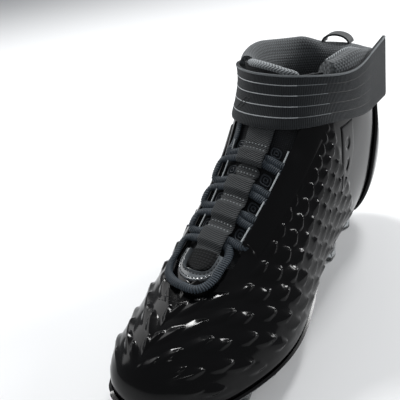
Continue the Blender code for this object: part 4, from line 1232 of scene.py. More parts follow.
@dataclass
class Upper:
    """Coated textile upper: vamp and two quarters, with the lining inside."""

    relief: Relief = field(default_factory=Relief)
    skin: float = 1.1 * MM
    collar_front: float = 157 * MM
    collar_back: float = 146 * MM
    collar_tilt: float = 4 * MM
    drop_start: float = 0.22
    drop_reach: float = 0.26
    margin: float = 14 * MM
    squareness: float = 2.4

    def collar_height(self, point: Array) -> Array:
        """Height of the top edge at points of the last.

        Args:
            point: points.

        Returns:
            Heights.
        """
        back = smooth_step((point[..., 1] / LAST.length - self.drop_start) / self.drop_reach)
        drop = (self.collar_back - self.collar_front) * back
        return self.collar_front + drop - self.collar_tilt * point[..., 0] / LAST.shaft

    def low_edge(self, line: float) -> float:
        """Place round the last where the skin ends under the foot.

        Args:
            line: girth line.

        Returns:
            Place round it.
        """
        rim = plate_edge(line)
        under = LAST.at(line, np.linspace(0.0, rim, 12))
        reach = np.linalg.norm(np.diff(under, axis=0), axis=1).sum()
        kept = max(1.0 - (self.margin + RIM_HEIGHT) / max(reach, 1e-6), 0.0)
        share = smooth_step(line, LAST.girth(10.5), LAST.girth(11.5) - LAST.girth(10.5))
        return float(max(rim * kept, 0.02) * (1.0 - share))

    def _walls(self, name: str, line: Array, around: Array) -> None:
        """Make one patch: an outer skin with relief and a textile lining behind it.

        Args:
            name: name of the skin.
            line: girth lines.
            around: places round them.
        """
        height = self.relief.at(line, around)
        high = LAST.raised(line, around, height)
        middle = LAST.raised(line, around, -self.skin)
        low = LAST.raised(line, around, -UPPER_WALL)
        coarse = (slice(None, None, 2), slice(None, None, 2))
        Piece(name, COATED).slab(high, middle).finish(replaces=("upper",))
        lining = Piece(name + "_lining", LINING)
        lining.slab(middle[coarse] - 0.05 * MM * LAST.normal(line, around)[coarse], low[coarse])
        lining.finish(replaces=("upper",))

    def build(self) -> None:
        """Make the vamp and the quarters."""
        bow_start = THROAT.start - 4 * THROAT.round_end
        lines = np.linspace(0.4 * MM, THROAT.start, 141)
        columns = 347
        around = np.empty((len(lines), columns))
        for row, line in enumerate(lines):
            edge = self.low_edge(line)
            around[row] = np.linspace(edge, 1.0 - edge, columns)
        line = np.broadcast_to(lines[:, None], around.shape).copy()
        x = LAST.at(line, around)[..., 0]
        share = np.clip(np.abs(x - THROAT.centre(line)) / THROAT.half(line), 0.0, 1.0)
        top = (around > 0.2) & (around < 0.8)
        bow = np.where(top, THROAT.round_end * (1 - share**self.squareness), 0.0)
        pull = np.clip((line - bow_start) / (THROAT.start - bow_start), 0.0, 1.0)
        line -= bow * pull
        self._walls("vamp", line, around)
        for name, side in (("quarter_outer", 1), ("quarter_inner", -1)):
            self._quarter(name, side)

    def _quarter(self, name: str, side: int) -> None:
        """Make one side from the throat's toe end to the collar.

        Args:
            name: name of the skin.
            side: 1 for outer, -1 for inner.
        """
        lines = np.linspace(THROAT.start, LAST.end, 241)
        edges = THROAT.edge(lines, side)
        lows = np.array([self.low_edge(line) for line in lines])
        if side < 0:
            lows = 1.0 - lows
        shares = np.linspace(0.0, 1.0, 203)
        around = lows[:, None] + (edges - lows)[:, None] * shares
        line = np.broadcast_to(lines[:, None], around.shape).copy()
        point = LAST.at(line, around)
        above = point[..., 2] > self.collar_height(point)
        trim = LAST.girth(10)
        for column in range(len(shares)):
            over = np.flatnonzero(above[:, column] & (lines > trim))
            if len(over):
                n = over[0]
                gap = point[:, column, 2] - self.collar_height(point[:, column])
                end = lines[n - 1] + (lines[1] - lines[0]) * gap[n - 1] / (gap[n - 1] - gap[n])
                share = np.clip((lines - trim) / (LAST.end - trim), 0.0, 1.0)
                moved = np.where(lines > trim, trim + (end - trim) * share, lines)
                line[:, column] = moved
                around[:, column] = np.interp(moved, lines, around[:, column])
        self._walls(name, line, around)


@dataclass
class Sole:
    """Plate with its stepped rim, insole and bladed studs."""

    groove: float = 0.5 * MM
    blade_levels: tuple = (
        (0.60, 0.0), (0.645, 0.02), (0.665, 0.07), (0.70, 0.30), (0.76, 0.6), (0.86, 0.85), (0.99, 1.0)
    )
    core_levels: tuple = ((0.30, 0.30), (0.36, 0.34), (0.42, 0.6), (0.50, 0.9), (0.55, 0.985))
    stud_rows: tuple = (
        ("stud_toe", 2.55, 0.0, 12, 9, 90),
        ("stud_outer_1", 3.50, 0.118, 17, 11, 24),
        ("stud_outer_2", 4.60, 0.134, 17, 11, 12),
        ("stud_outer_3", 5.65, 0.140, 17, 11, 2),
        ("stud_outer_4", 6.75, 0.126, 17, 11, -10),
        ("stud_inner_1", 3.50, -0.110, 17, 11, -24),
        ("stud_inner_2", 4.60, -0.130, 17, 11, -12),
        ("stud_inner_3", 5.65, -0.138, 17, 11, -4),
        ("stud_inner_4", 6.75, -0.124, 17, 11, 8),
        ("stud_heel_outer_1", 9.85, 0.056, 19, 12, 4),
        ("stud_heel_outer_2", 11.15, 0.030, 19, 12, -20),
        ("stud_heel_inner_1", 9.85, -0.056, 19, 12, -4),
        ("stud_heel_inner_2", 11.15, -0.030, 19, 12, 20),
    )

    def build(self) -> None:
        """Make the plate, the insole and the studs."""
        top = LAST.sole + LAST.rise + RIM_HEIGHT
        lines = np.linspace(LAST.girth(11), LAST.girth(14), 400)
        end = float(np.interp(top, LAST.at(lines, 0.0)[:, 2], lines))
        angles = np.linspace(0.0, math.pi, 151)
        lines = np.clip(end * (1 - np.cos(angles)) / 2, 0.8 * MM, end - 0.2 * MM)
        ranges = ((-1, -0.84, 17), (-0.82, 0.82, 45), (0.84, 1, 17))
        shares = np.concatenate([np.linspace(*limits) for limits in ranges])
        edges = np.array([plate_edge(line) for line in lines])
        around = edges[:, None] * shares
        line = np.broadcast_to(lines[:, None], around.shape)
        away = np.abs(shares)
        thick = PLATE_THICKNESS + (RIM_THICKNESS - PLATE_THICKNESS) * smooth_step(away, 0.878, 0.014)
        thick = thick - self.groove * hump(away, 0.945, 0.010)
        thick = np.broadcast_to(thick, around.shape) + self._ribs(line, around)
        high = LAST.raised(line, around, LINING_GAP + thick)
        low = LAST.raised(line, around, LINING_GAP)
        self.under = high
        plate = Piece("sole_plate", MOULDED).slab(high, low)
        plate.finish(replaces=("outsole",))
        self._insole()
        self._studs()

    def _ribs(self, line: Array, around: Array) -> Array:
        """Stiffening ribs and stud bosses on the underside.

        Args:
            line: girth lines.
            around: places round them.

        Returns:
            Extra thickness.
        """
        point = LAST.at(line, around)
        x, y = point[..., 0], point[..., 1]
        waist = smooth_step(y, -45 * MM, 20 * MM) * (1 - smooth_step(y, 45 * MM, 20 * MM))
        ribs = hump(np.abs(x) - 0.06 * np.abs(y), 9 * MM, 1.6 * MM) * waist * 1.2 * MM
        boss = np.zeros(line.shape)
        for _, station, place, length, width, turn in self.stud_rows:
            centre = LAST.at(LAST.girth(station), place)
            angle = math.radians(turn)
            dx, dy = x - centre[0], y - centre[1]
            across = (dx * math.cos(angle) + dy * math.sin(angle)) / (0.5 * width * MM + 3.0 * MM)
            along = (-dx * math.sin(angle) + dy * math.cos(angle)) / (0.5 * length * MM + 3.0 * MM)
            gap = (np.abs(across) ** 4 + np.abs(along) ** 4) ** 0.25
            boss = np.maximum(boss, 1 - smooth_step(gap, 0.9, 0.16))
        return ribs * (1 - boss) + 0.25 * MM * boss

    def _insole(self) -> None:
        """Sheet on the lasting margin inside the upper."""
        lines = np.linspace(LAST.girth(1.5), LAST.girth(11.8), 90)
        edges = np.array([plate_edge(line) for line in lines])
        around = edges[:, None] * np.linspace(-0.84, 0.84, 41)
        line = np.broadcast_to(lines[:, None], around.shape)
        depth = -(UPPER_WALL + LINING_GAP)
        high, low = LAST.raised(line, around, depth - 4.0 * MM), LAST.raised(line, around, depth)
        Piece("sock_liner", INSOLE).slab(high, low).finish(replaces=("insole",))

    def _studs(self) -> None:
        """Clear blades with black cores."""
        rows, columns = self.under.shape[:2]
        tree = BVHTree.FromPolygons(
            [tuple(point) for point in self.under.reshape(-1, 3)], grid_faces(rows, columns, False).tolist()
        )
        blades = Piece("clear_blades", CLEAR)
        cores = Piece("blade_cores", MOULDED)
        angles = np.linspace(0, 2 * math.pi, 32, endpoint=False)
        box = np.stack([np.cos(angles), np.sin(angles)], axis=-1)
        box = np.sign(box) * np.abs(box) ** 0.5
        for _, station, place, length, width, turn in self.stud_rows:
            centre = LAST.at(LAST.girth(station), place)[:2]
            angle = math.radians(turn)
            spin = np.array([[math.cos(angle), math.sin(angle)], [-math.sin(angle), math.cos(angle)]])
            size = np.array([width, length]) / 2 * MM
            self._post(blades, tree, centre, spin, box * size, self.blade_levels)
            self._post(cores, tree, centre, spin, box * size, self.core_levels)
        blades.finish(replaces=tuple(row[0] for row in self.stud_rows), smooth=35)
        cores.finish()

    def _post(
        self,
        piece: Piece,
        tree: BVHTree,
        centre: Array,
        spin: Array,
        outline: Array,
        levels: Sequence[tuple[float, float]],
    ) -> None:
        """One tapered post that reaches up to the plate, as rings by share and level.

        Args:
            piece: piece that it joins.
            tree: the plate's underside.
            centre: middle on the floor.
            spin: turn about it.
            outline: points of the full section.
            levels: share of the section and share of the height of each ring.
        """
        rings = []
        for share, level in levels:
            spots = centre + outline * share @ spin
            tops = [tree.ray_cast(Vector((*spot, 0.0)), Vector((0, 0, 1)))[0].z for spot in spots]
            rings.append(np.column_stack([spots, (np.array(tops) - SEAT_GAP) * level]))
        piece.tube(np.array(rings))


@dataclass
class Lacing:
    """Tongue, ribbon, laces and what edges the throat."""

    ribbon_width: float = 19.8 * MM
    ribbon_thickness: float = 1.4 * MM
    lace_width: float = 5.5 * MM
    lace_height: float = 3.6 * MM
    loop_reach: float = -0.290
    tab_reach: float = -0.270
    overlap: float = 6 * MM
    dip: float = 0.62
    webbing_ends: tuple = (("webbing_low", -0.200, -0.036), ("webbing_high", -0.010, 0.070))
    tab_place: float = -0.022
    tab_half_length: float = 6.1 * MM
    tab_half_width: float = 9.6 * MM
    tab_thickness: float = 1.5 * MM
    loop_half_outer: float = 16.4 * MM
    loop_half_inner: float = 21.0 * MM
    square_offset: float = 15.0 * MM
    square_half: float = 3.7 * MM
    square_cord: float = 1.3 * MM
    roll_thickness: float = 7.4 * MM
    rim_half: float = 15.2 * MM
    rim_taper: float = 4.4 * MM
    rim_band: float = 7.4 * MM
    piping: float = 1.0 * MM

    def build(self) -> None:
        """Make every piece of the throat."""
        self._tongue()
        self._ribbons()
        self._pull_tab()
        self._laces()
        self._throat_tab()
        self._eyestays()

    def _tongue(self) -> None:
        """Padded knit face of the tongue, the squares bonded to it and its rolled top."""
        start = THROAT.start - THROAT.round_end - self.overlap
        shares = np.linspace(1.0, -1.0, 121)
        rows = np.linspace(start, LAST.end, 900)
        ends = np.empty(121)
        for column, share in enumerate(shares):
            half = THROAT.half(rows) + self.overlap
            around = LAST.around_at_x(rows, THROAT.centre(rows) + share * half)
            z = LAST.at(rows, around)[:, 2]
            top = (168.6 - 3 * share * share - 6 * smooth_step(share, -0.5, 1.3)) * MM
            over = np.flatnonzero((z > top) & (rows > LAST.girth(9)))
            ends[column] = rows[over[0]] if len(over) else LAST.end
        line = start + (ends - start) * np.linspace(0, 1, 181)[:, None]
        x = shares * (THROAT.half(line) + self.overlap)
        around = LAST.around_at_x(line, THROAT.centre(line) + x)
        taper = np.where(np.abs(shares) > 0.9, 0.55, 1.0) * np.ones_like(line)
        depth = THROAT.tongue_depth
        high = LAST.raised(line, around, depth - 0.3 * MM)
        low = LAST.raised(line, around, depth - 4.6 * MM * taper)
        Piece("tongue_face", TONGUE).slab(high, low, under=LINING).finish(replaces=("tongue",), padded=0.7)
        self._window_frames()
        self._tongue_roll(ends, shares)

    def _window_frames(self) -> None:
        """Raised film squares that show in the windows between the lace rows."""
        piece = Piece("window_frames", FRAME)
        centres = np.array(THROAT.crossings)
        windows = np.concatenate([(centres[1:] + centres[:-1]) / 2, [centres[-1] + 11 * MM]])
        angles = np.linspace(0.0, 2 * math.pi, 61)
        corner = [np.sign(wave) * np.abs(wave) ** 0.6 for wave in (np.cos(angles), np.sin(angles))]
        for window in windows:
            for side in (1, -1):
                for scale in (1.0, 0.42):
                    x = side * self.square_offset + corner[0] * self.square_half * scale
                    line = window - ROW_SKEW * x + corner[1] * self.square_half * scale
                    path, up = THROAT.row(line, x, THROAT.tongue_depth - 0.1 * MM)
                    thick = np.full(len(angles), self.square_cord)
                    piece.tube(sweep(path, up, thick, thick, 10))
        piece.finish()

    def _tongue_roll(self, ends: Array, shares: Array) -> None:
        """Rolled knit edge on top of the tongue.

        Args:
            ends: girth lines of its top edge.
            shares: places across it.
        """
        kept = (shares < 0.62) & (shares > -0.92)
        ends, shares = ends[kept], shares[kept]
        x = shares * (THROAT.half(ends) + self.overlap)
        path, up = THROAT.row(ends, x, THROAT.tongue_depth - 3.6 * MM)
        away = np.abs(shares + 0.15) / 0.77
        thick = self.roll_thickness * np.clip(1 - away**8, 0.05, 1) ** 0.5
        rings = sweep(path, up, thick * 0.86, thick, 28)
        Piece("tongue_roll", KNIT).tube(rings).finish(padded=0.8)

    def _ribbon_depth(self, line: Array) -> Array:
        """Depth of the ribbon's lower face: on the tongue, and over each lace pair.

        Args:
            line: girth lines.

        Returns:
            Depths outside the last.
        """
        rise = np.zeros(np.shape(line))
        for crossing in THROAT.crossings:
            away = np.abs(line - crossing)
            rise = np.maximum(rise, 1.0 - self.dip * smooth_step(away, 4.0 * MM, 4.6 * MM))
        return THROAT.tongue_depth + LINING_GAP + (LACE_THICKNESS + SEAT_GAP) * rise

    def _ribbons(self) -> None:
        """Two lengths of webbing up the middle, with stitch rows in each dip."""
        stitches = []
        for name, first, last in self.webbing_ends:
            lines = np.linspace(LAST.top_line(first), LAST.top_line(last), 161)
            shares = np.sin(np.linspace(math.pi / 2, -math.pi / 2, 25))
            x = shares * self.ribbon_width / 2
            line = np.broadcast_to(lines[:, None], (len(lines), len(shares)))
            depth = self._ribbon_depth(line)
            edge = 0.45 * MM * np.abs(shares) ** 12
            high = THROAT.place(line - ROW_SKEW * x, x, depth + self.ribbon_thickness - edge)
            low = THROAT.place(line - ROW_SKEW * x, x, depth + edge * 0.5)
            node = name.replace("webbing_", "ribbon_")
            Piece(name, RIBBON).slab(high, low).finish(replaces=(node,))
        for number, gap in ((0, 9.2 * MM), (1, 9.0 * MM), (3, 9.5 * MM)):
            middle = THROAT.crossings[number] + gap
            for shift in (-2.3 * MM, 2.3 * MM):
                x = np.linspace(7.6, -7.6, 30) * MM
                line = np.full(30, middle + shift)
                depth = self._ribbon_depth(line) + self.ribbon_thickness + 0.02 * MM
                stitches.append(THROAT.row(line - ROW_SKEW * x, x, depth))
        MACHINE.sew("ribbon_stitches", stitches, RIBBON_STITCH, RIBBON_STITCH_SPACING, THREAD)

    def _pull_tab(self) -> None:
        """Small oval tab between the two ribbons."""
        centre = LAST.top_line(self.tab_place)
        angles = np.linspace(0.06, math.pi - 0.06, 41)
        line = np.broadcast_to((centre - np.cos(angles) * self.tab_half_length)[:, None], (41, 25))
        shares = np.sin(np.linspace(math.pi / 2, -math.pi / 2, 25))
        x = self.tab_half_width * np.sin(angles)[:, None] ** 0.7 * shares
        depth = THROAT.tongue_depth + LINING_GAP
        edge = 0.5 * MM * np.maximum(np.abs(shares) ** 10, (np.abs(np.cos(angles)) ** 10)[:, None])
        high = THROAT.place(line - ROW_SKEW * x, x, depth + self.tab_thickness - edge)
        low = THROAT.place(line - ROW_SKEW * x, x, depth)
        Piece("oval_tab", RIBBON).slab(high, low).finish(replaces=("pull_tab",))
        x = np.linspace(6.6, -6.6, 20) * MM
        rows = []
        for shift in (-2.0 * MM, 2.2 * MM):
            line = centre + shift - ROW_SKEW * x
            rows.append(THROAT.row(line, x, depth + self.tab_thickness + 0.02 * MM))
        MACHINE.sew("tab_stitches", rows, RIBBON_STITCH, RIBBON_STITCH_SPACING, THREAD)

    def _lace_half(self, side: int) -> Iterator[tuple[float, float, float, float]]:
        """Stations of one half of the lace: girth line, distance across, depth, flatness.

        Args:
            side: 1 for the half that starts on the outer side.

        Yields:
            Stations in order.
        """
        start, first = THROAT.start, THROAT.crossings[0]
        reach = LAST.top_line(self.loop_reach)
        loop_half = self.loop_half_outer if side > 0 else self.loop_half_inner
        over = LAYER_GAP + LACE_THICKNESS / 2 + SEAT_GAP
        rest = THROAT.tongue_depth + LINING_GAP + LACE_THICKNESS / 2
        for angle in np.linspace(math.pi / 2, 0.0, 8):
            share = math.cos(angle)
            square = 3.2 if side > 0 else 2.1
            bow = (1 - abs(share) ** square) ** (1 / 2.4)
            sunk = over + 1.3 * MM - 1.4 * MM * share**4
            yield start - (start - reach) * bow, side * share * loop_half, sunk, 1.0
        if side > 0:
            yield (start + first) / 2 - 1 * MM, loop_half, rest + 1.6 * MM, 1.0
        for number, line in enumerate(THROAT.crossings):
            half = float(THROAT.half(line))
            low, high = line - LACE_PAIR_SPACING / 2, line + LACE_PAIR_SPACING / 2
            if number or side < 0:
                yield low - 1.6 * MM, *self._edge_run(side, half, over)
                yield low, side * (half - 5.5 * MM), rest + 0.2 * MM, 1.0
            yield low, side * 13.0 * MM, rest, 0.95
            yield line, 0.0, rest + side * (1 if number % 2 else -1) * 1.0 * MM, 0.45
            side = -side
            yield high, side * 13.0 * MM, rest, 0.95
            yield high, side * (half - 5.5 * MM), rest + 0.2 * MM, 1.0
            if number < len(THROAT.crossings) - 1:
                after = THROAT.crossings[number + 1]
                yield high + 1.6 * MM, *self._edge_run(side, half, over)
                for share in (0.42, 0.58):
                    between = high + (after - LACE_PAIR_SPACING / 2 - high) * share
                    lift, flat = (1.6 * MM, 0.5) if side > 0 else (over, 1.0)
                    yield between, side * (half + (1.2 if side > 0 else 0.4) * MM), lift, flat
        half = float(THROAT.half(THROAT.crossings[-1]))
        high = THROAT.crossings[-1] + LACE_PAIR_SPACING / 2
        if side > 0:
            yield high + 2.0 * MM, half + 0.6 * MM, 1.2 * MM, 0.6
            yield high + 4.5 * MM, half + 2.4 * MM, 0.8 * MM, 0.45
            return
        yield high + 3.5 * MM, -(half - 2.2 * MM), rest + 0.4 * MM, 0.85
        yield high + 9 * MM, -(half - 3.0 * MM), rest - 0.6 * MM, 0.75
        yield LAST.top_line(0.062), -(half - 3.4 * MM), rest - 1.0 * MM, 0.7

    def _edge_run(self, side: int, half: float, over: float) -> tuple[float, float, float]:
        """Distance across, depth and flatness where the lace turns at a throat edge.

        Args:
            side: 1 for outer, -1 for inner.
            half: half width of the throat.
            over: depth of a lace that lies on the upper.

        Returns:
            The three values.
        """
        if side > 0:
            return side * (half - 0.4 * MM), 1.2 * MM, 0.7
        return side * (half - 0.6 * MM), over - 1.0 * MM, 0.95

    def _laces(self) -> None:
        """One braided lace, up both sides from the loop below the throat."""
        piece = Piece("braided_lace", LACE)
        for side in (1, -1):
            values = curve_through(list(self._lace_half(side)), 1400)
            values[:, 0] -= ROW_SKEW * values[:, 1]
            around = LAST.around_at_x(values[:, 0], THROAT.centre(values[:, 0]) + values[:, 1])
            path = LAST.raised(values[:, 0], around, values[:, 2])
            run = np.concatenate([[0.0], np.cumsum(np.linalg.norm(np.diff(path, axis=0), axis=1))])
            even = np.linspace(0.0, run[-1], int(run[-1] / (0.26 * MM)))
            column = np.stack([np.interp(even, run, path[:, k]) for k in range(3)], axis=-1)
            up = LAST.normal(np.interp(even, run, values[:, 0]), np.interp(even, run, around))
            flat = np.clip(np.interp(even, run, values[:, 3]), 0.4, 1.0)
            rings = sweep(column, up, self.lace_width * (1.12 - 0.12 * flat), self.lace_height * flat, 18)
            angles = np.linspace(0, 2 * math.pi, 18, endpoint=False)
            chevron = np.abs(np.mod(angles / math.pi + 0.5, 1.0) - 0.5) * 2.0
            phase = even[:, None] / (LACE.pitch * MM) + 0.55 * chevron
            rib = 0.5 + 0.5 * np.cos(2 * math.pi * phase)
            centre = column[:, None]
            rings = centre + (rings - centre) * (0.86 + 0.18 * rib[..., None])
            piece.tube(rings, along=(phase + 0.25) * LACE.pitch * MM)
            LOG.info("lace half length: %.3f m", run[-1])
        rows = tuple(f"lace_row_{number}" for number in (1, 2, 3, 4))
        piece.finish(replaces=(*rows, "lace_loop"), smooth=70)

    def _throat_tab(self) -> None:
        """Moulded U that rims the throat's toe end, with two stitch rows and a mesh vent."""
        arm = THROAT.start
        reach = arm - LAST.top_line(self.tab_reach)
        angles = np.linspace(0.0, math.pi, 71)
        arms = np.linspace(1.0, 0.0, 9)[:-1]
        across = np.concatenate([np.ones(8), np.cos(angles), -np.ones(8)])
        down = np.concatenate([-0.25 * arms, np.sin(angles) ** 0.9, -0.25 * arms[::-1]])
        widths = np.linspace(0.0, 1.0, 33)[:, None]
        half = self.rim_half - self.rim_taper * widths
        deep = reach - self.rim_band * widths * np.maximum(down, 0.0)
        x = across * half
        line = arm - down * np.where(down > 0, deep, reach)
        lip = 1.3 * MM * hump(widths, 0.88, 0.10) + 0.5 * MM * hump(widths, 0.1, 0.1)
        rise = LAYER_GAP + 1.2 * MM + lip - 0.9 * MM * (widths**14 + (1 - widths) ** 14) + 0 * x
        base = np.full(x.shape, LAYER_GAP - 0.6 * MM)
        line = line - 0.5 * ROW_SKEW * x
        high, low = THROAT.place(line, x, rise), THROAT.place(line, x, base)
        Piece("throat_rim", SOFT_TPU).slab(high, low).finish(replaces=("throat_tab",))
        rows = []
        for place in (22, 9):
            inside = slice(6, -6)
            rows.append(THROAT.row(line[place][inside], x[place][inside], rise[place][inside] + 0.05 * MM))
        MACHINE.sew("rim_stitches", rows, (1.7 * MM, 0.7 * MM, 0.5 * MM), 2.5 * MM, DARK_THREAD)
        self._vent(arm, reach - 8.0 * MM)
        self._seam()

    def _vent(self, arm: float, reach: float) -> None:
        """Dark mesh half-disc inside the rim.

        Args:
            arm: girth line of the rim's arms.
            reach: its length towards the toe.
        """
        downs = np.linspace(-0.55, 0.99, 61)
        shares = np.sin(np.linspace(math.pi / 2, -math.pi / 2, 41))
        half = 9.9 * MM * (1 - np.maximum(downs, 0.0) ** 2) ** 0.5
        x = half[:, None] * shares
        line = np.broadcast_to((arm - downs * reach)[:, None], x.shape)
        bow = 1.0 * MM * (1 - shares**4)
        line = line - 0.5 * ROW_SKEW * x
        high = THROAT.place(line, x, LAYER_GAP + bow - 0.2 * MM)
        low = THROAT.place(line, x, -0.8 * MM)
        Piece("vent_mesh", VENT).slab(high, low).finish()

    def _seam(self) -> None:
        """Short dashed seam on the vamp below the lace loop."""
        x = np.linspace(7.0, -13.0, 36) * MM
        rows = []
        for shift in (0.0, 2.6 * MM):
            line = LAST.top_line(self.loop_reach) - 7.5 * MM - shift + 7.2 * (x + 3 * MM) ** 2
            around = LAST.around_at_x(line, THROAT.centre(line) + x)
            lift = Relief().at(line, around) + 0.12 * MM
            rows.append((LAST.raised(line, around, lift), LAST.normal(line, around)))
        MACHINE.sew("vamp_seam", rows, (1.9 * MM, 0.5 * MM, 0.5 * MM), 2.7 * MM, DARK_THREAD)

    def _eyestays(self) -> None:
        """Folded edges of the quarters: a flap over the lace's outer run and pale piping."""
        first = THROAT.crossings[0] - LACE_PAIR_SPACING
        last = LAST.top_line(0.070)
        lines = np.linspace(first, last, 201)
        near = np.zeros(len(lines))
        for crossing in THROAT.crossings:
            near = np.maximum(near, 1 - smooth_step(np.abs(lines - crossing), 3.2 * MM, 1.8 * MM))
        shares = np.linspace(0.0, 1.0, 21)
        for name, side, node in (
            ("quarter_edge_outer", 1, "eyestay_outer"),
            ("quarter_edge_inner", -1, "eyestay_inner"),
        ):
            half = THROAT.half(lines)
            inner = half + (-2.0 * MM if side > 0 else 3.6 * MM - 0.8 * MM * near)
            outer = half + 9.4 * MM
            x = inner[:, None] + (outer - inner)[:, None] * shares
            sink = 1 - 0.75 * smooth_step(lines - THROAT.crossings[-1], 3 * MM, 22 * MM)
            sink = 0.3 + (sink - 0.3) * smooth_step(lines, first, 8 * MM)
            high_in = ((4.3 * MM if side > 0 else 1.7 * MM) * sink)[:, None]
            buried = smooth_step(lines, first, 7 * MM)[:, None]
            slope = high_in + (1.0 * MM - high_in) * smooth_step(x - half[:, None], -2 * MM, 11 * MM)
            slope = slope * buried - 0.6 * MM * (1 - buried)
            rise = slope - 0.5 * MM * (shares**14 + (1 - shares) ** 14)
            line = np.broadcast_to(lines[:, None], x.shape)
            high = THROAT.place(line, side * x, rise)
            low = THROAT.place(line, side * x, np.maximum(slope - 1.1 * MM, -0.9 * MM * (1 - buried)))
            Piece(name, COATED).slab(high, low).finish(replaces=(node,))
        self._piping()

    def _piping(self) -> None:
        """Pale edge cords in the windows between the lace pairs."""
        piece = Piece("window_piping", PIPING)
        centres = THROAT.crossings
        spans = [(a + 4.4 * MM, b - 4.4 * MM) for a, b in zip(centres, centres[1:])]
        spans.append((centres[-1] + 4.5 * MM, centres[-1] + 15.5 * MM))
        for low, high in spans:
            for side in (1, -1):
                lines = np.linspace(low, high, 40) - side * ROW_SKEW * 20 * MM
                half = THROAT.half(lines)
                inset = 2.9 * MM if side > 0 else 6.2 * MM
                x = side * (half - inset)
                path, up = THROAT.row(lines, x, 3.9 * MM if side > 0 else 0.4 * MM)
                thick = np.full(len(lines), self.piping)
                piece.tube(sweep(path, up, thick, thick, 12))
        piece.finish()


@dataclass
class Ankle:
    """Strap, collar pad, heel counter and pull loop."""

    stations: tuple = (
        (-158, 0.580, 0.725),
        (-95, 0.610, 0.815),
        (-32, 0.672, 0.862),
        (0, 0.672, 0.858),
        (35, 0.655, 0.838),
        (70, 0.612, 0.815),
        (100, 0.588, 0.838),
    )
    tail_low: float = 0.596
    tail_high: float = 0.862
    tail: float = 30 * MM
    strap: float = 2.2 * MM
    strap_gap: float = 0.8 * MM
    stripe_shares: tuple = (0.19, 0.39, 0.60, 0.80)
    # Rows round the strap where the pinstripes turn from lit to painted half shade, and then to painted black
    # shade.
    lit_end_row: int = 160
    half_shade_end_row: int = 178
    pad: float = 8 * MM
    pad_depth: float = 34 * MM
    roll: float = 6 * MM
    crown: float = 0.65
    counter_top: float = 114 * MM

    def build(self, upper: Upper) -> None:
        """Make the pieces of the shaft.

        Args:
            upper: upper whose edge the collar caps.
        """
        self._strap()
        self._collar(upper)
        self._counter()
        self._rear_panel()
        self._pull_loop()

    def _strap_grid(self, depth: float, shares: Array) -> Array:
        """Points of the strap at a depth: rows round the ankle, columns up it.

        Args:
            depth: distance outside the last.
            shares: places up the strap.

        Returns:
            Points by row and column.
        """
        table = np.array(self.stations, dtype=float)
        bends = spline_bends(table[:, 0], table[:, 1:])
        turns = np.linspace(table[0, 0], table[-1, 0], 231)
        edges = spline_at(table[:, 0], table[:, 1:], bends, turns)
        height = LAST.sole + LAST.height * (edges[:, :1] + (edges[:, 1:] - edges[:, :1]) * shares)
        grid = SHAFT.point(np.radians(turns)[:, None], height, depth)
        base = grid[-1]
        heading = (grid[-1] - grid[-9]).mean(axis=0)
        heading /= np.linalg.norm(heading)
        low, high = table[-1, 1:]
        tail = []
        for step in np.linspace(0.0, 1.0, 33)[1:]:
            column = base + heading * self.tail * step
            column[:, 0] = base[:, 0].max() + (base[:, 0] - base[:, 0].max()) * (1 - step)
            low_now = low + (self.tail_low - low) * step
            high_now = high + (self.tail_high - high) * step
            column[:, 2] = LAST.sole + LAST.height * (low_now + (high_now - low_now) * shares)
            tail.append(column)
        return np.concatenate([grid, np.array(tail)])

    def _strap(self) -> None:
        """Ribbed elastic band with a bound top edge and pinstripes."""
        shares = np.linspace(0.0, 1.0, 41)
        inner = self._strap_grid(self.strap_gap, shares)
        outer = self._strap_grid(self.strap_gap + self.strap, shares)
        edge = (np.abs(shares - 0.5) * 2) ** 20 * 0.30
        outer = outer + (inner - outer) * edge[None, :, None]
        Piece("elastic_band", ELASTIC).slab(outer, inner).finish(replaces=("ankle_strap",))
        stripes = Piece("strap_pinstripes", PINSTRIPE)
        # The pale thread is painted in three tones round the strap: lit at the front and inner side, then
        # painted half shade, then painted black shade over the outer side and tail.
        lit_end, half_shade_end = self.lit_end_row, self.half_shade_end_row
        for share in self.stripe_shares:
            self._stripe(stripes, share, 0.010, 0.25 * MM, slice(0, lit_end), None)
            self._stripe(stripes, share, 0.009, 0.20 * MM, slice(lit_end - 1, half_shade_end), EDGE_THREAD)
            self._stripe(stripes, share, 0.009, 0.12 * MM, slice(half_shade_end - 1, None), SHADED_STRIPE)
        self._stripe(stripes, 0.985, 0.022, 0.30 * MM, slice(None), EDGE_THREAD)
        stripes.finish()
        self._strap_mark()

    def _stripe(
        self, piece: Piece, share: float, half: float, height: float, rows: slice, finish: Finish | None
    ) -> None:
        """One raised line along the strap.

        Args:
            piece: piece that it joins.
            share: place up the strap.
            half: half width, as a share.
            height: how far it stands out.
            rows: part of the strap that it covers.
            finish: its finish, or None for the piece's own.
        """
        shares = share + half * np.array([-1.0, -0.5, 0.0, 0.5, 1.0])
        low = self._strap_grid(self.strap_gap + self.strap - 0.1 * MM, shares)[rows]
        bow = np.array([0.15, 0.8, 1.0, 0.8, 0.15]) * (height + 0.1 * MM)
        top = self._strap_grid(self.strap_gap + self.strap + 1.0 * MM, shares)[rows]
        away = top - low
        away /= np.linalg.norm(away, axis=2, keepdims=True)
        piece.slab(low + away * bow[None, :, None], low, finish, finish)

    def _strap_mark(self) -> None:
        """Short dashed bar tacks on the front of the strap."""
        shares = np.linspace(0.0, 1.0, 41)
        grid = self._strap_grid(self.strap_gap + self.strap + 0.05 * MM, shares)
        out = self._strap_grid(self.strap_gap + self.strap + 1.0 * MM, shares) - grid
        rows = []
        for shift in (0, 3):
            turns = np.linspace(121, 127, 24) + shift
            ups = np.linspace(9, 19, 24)
            i, j = turns.astype(int), ups.astype(int)
            path = grid[i, j] + (grid[i + 1, j] - grid[i, j]) * (turns - i)[:, None]
            path += (grid[i, j + 1] - grid[i, j]) * (ups - j)[:, None]
            rows.append((path, out[i, j] / np.linalg.norm(out[i, j], axis=1, keepdims=True)))
        MACHINE.sew("strap_tacks", rows, (1.6 * MM, 1.0 * MM, 0.8 * MM), 1.9 * MM, DARK_THREAD)

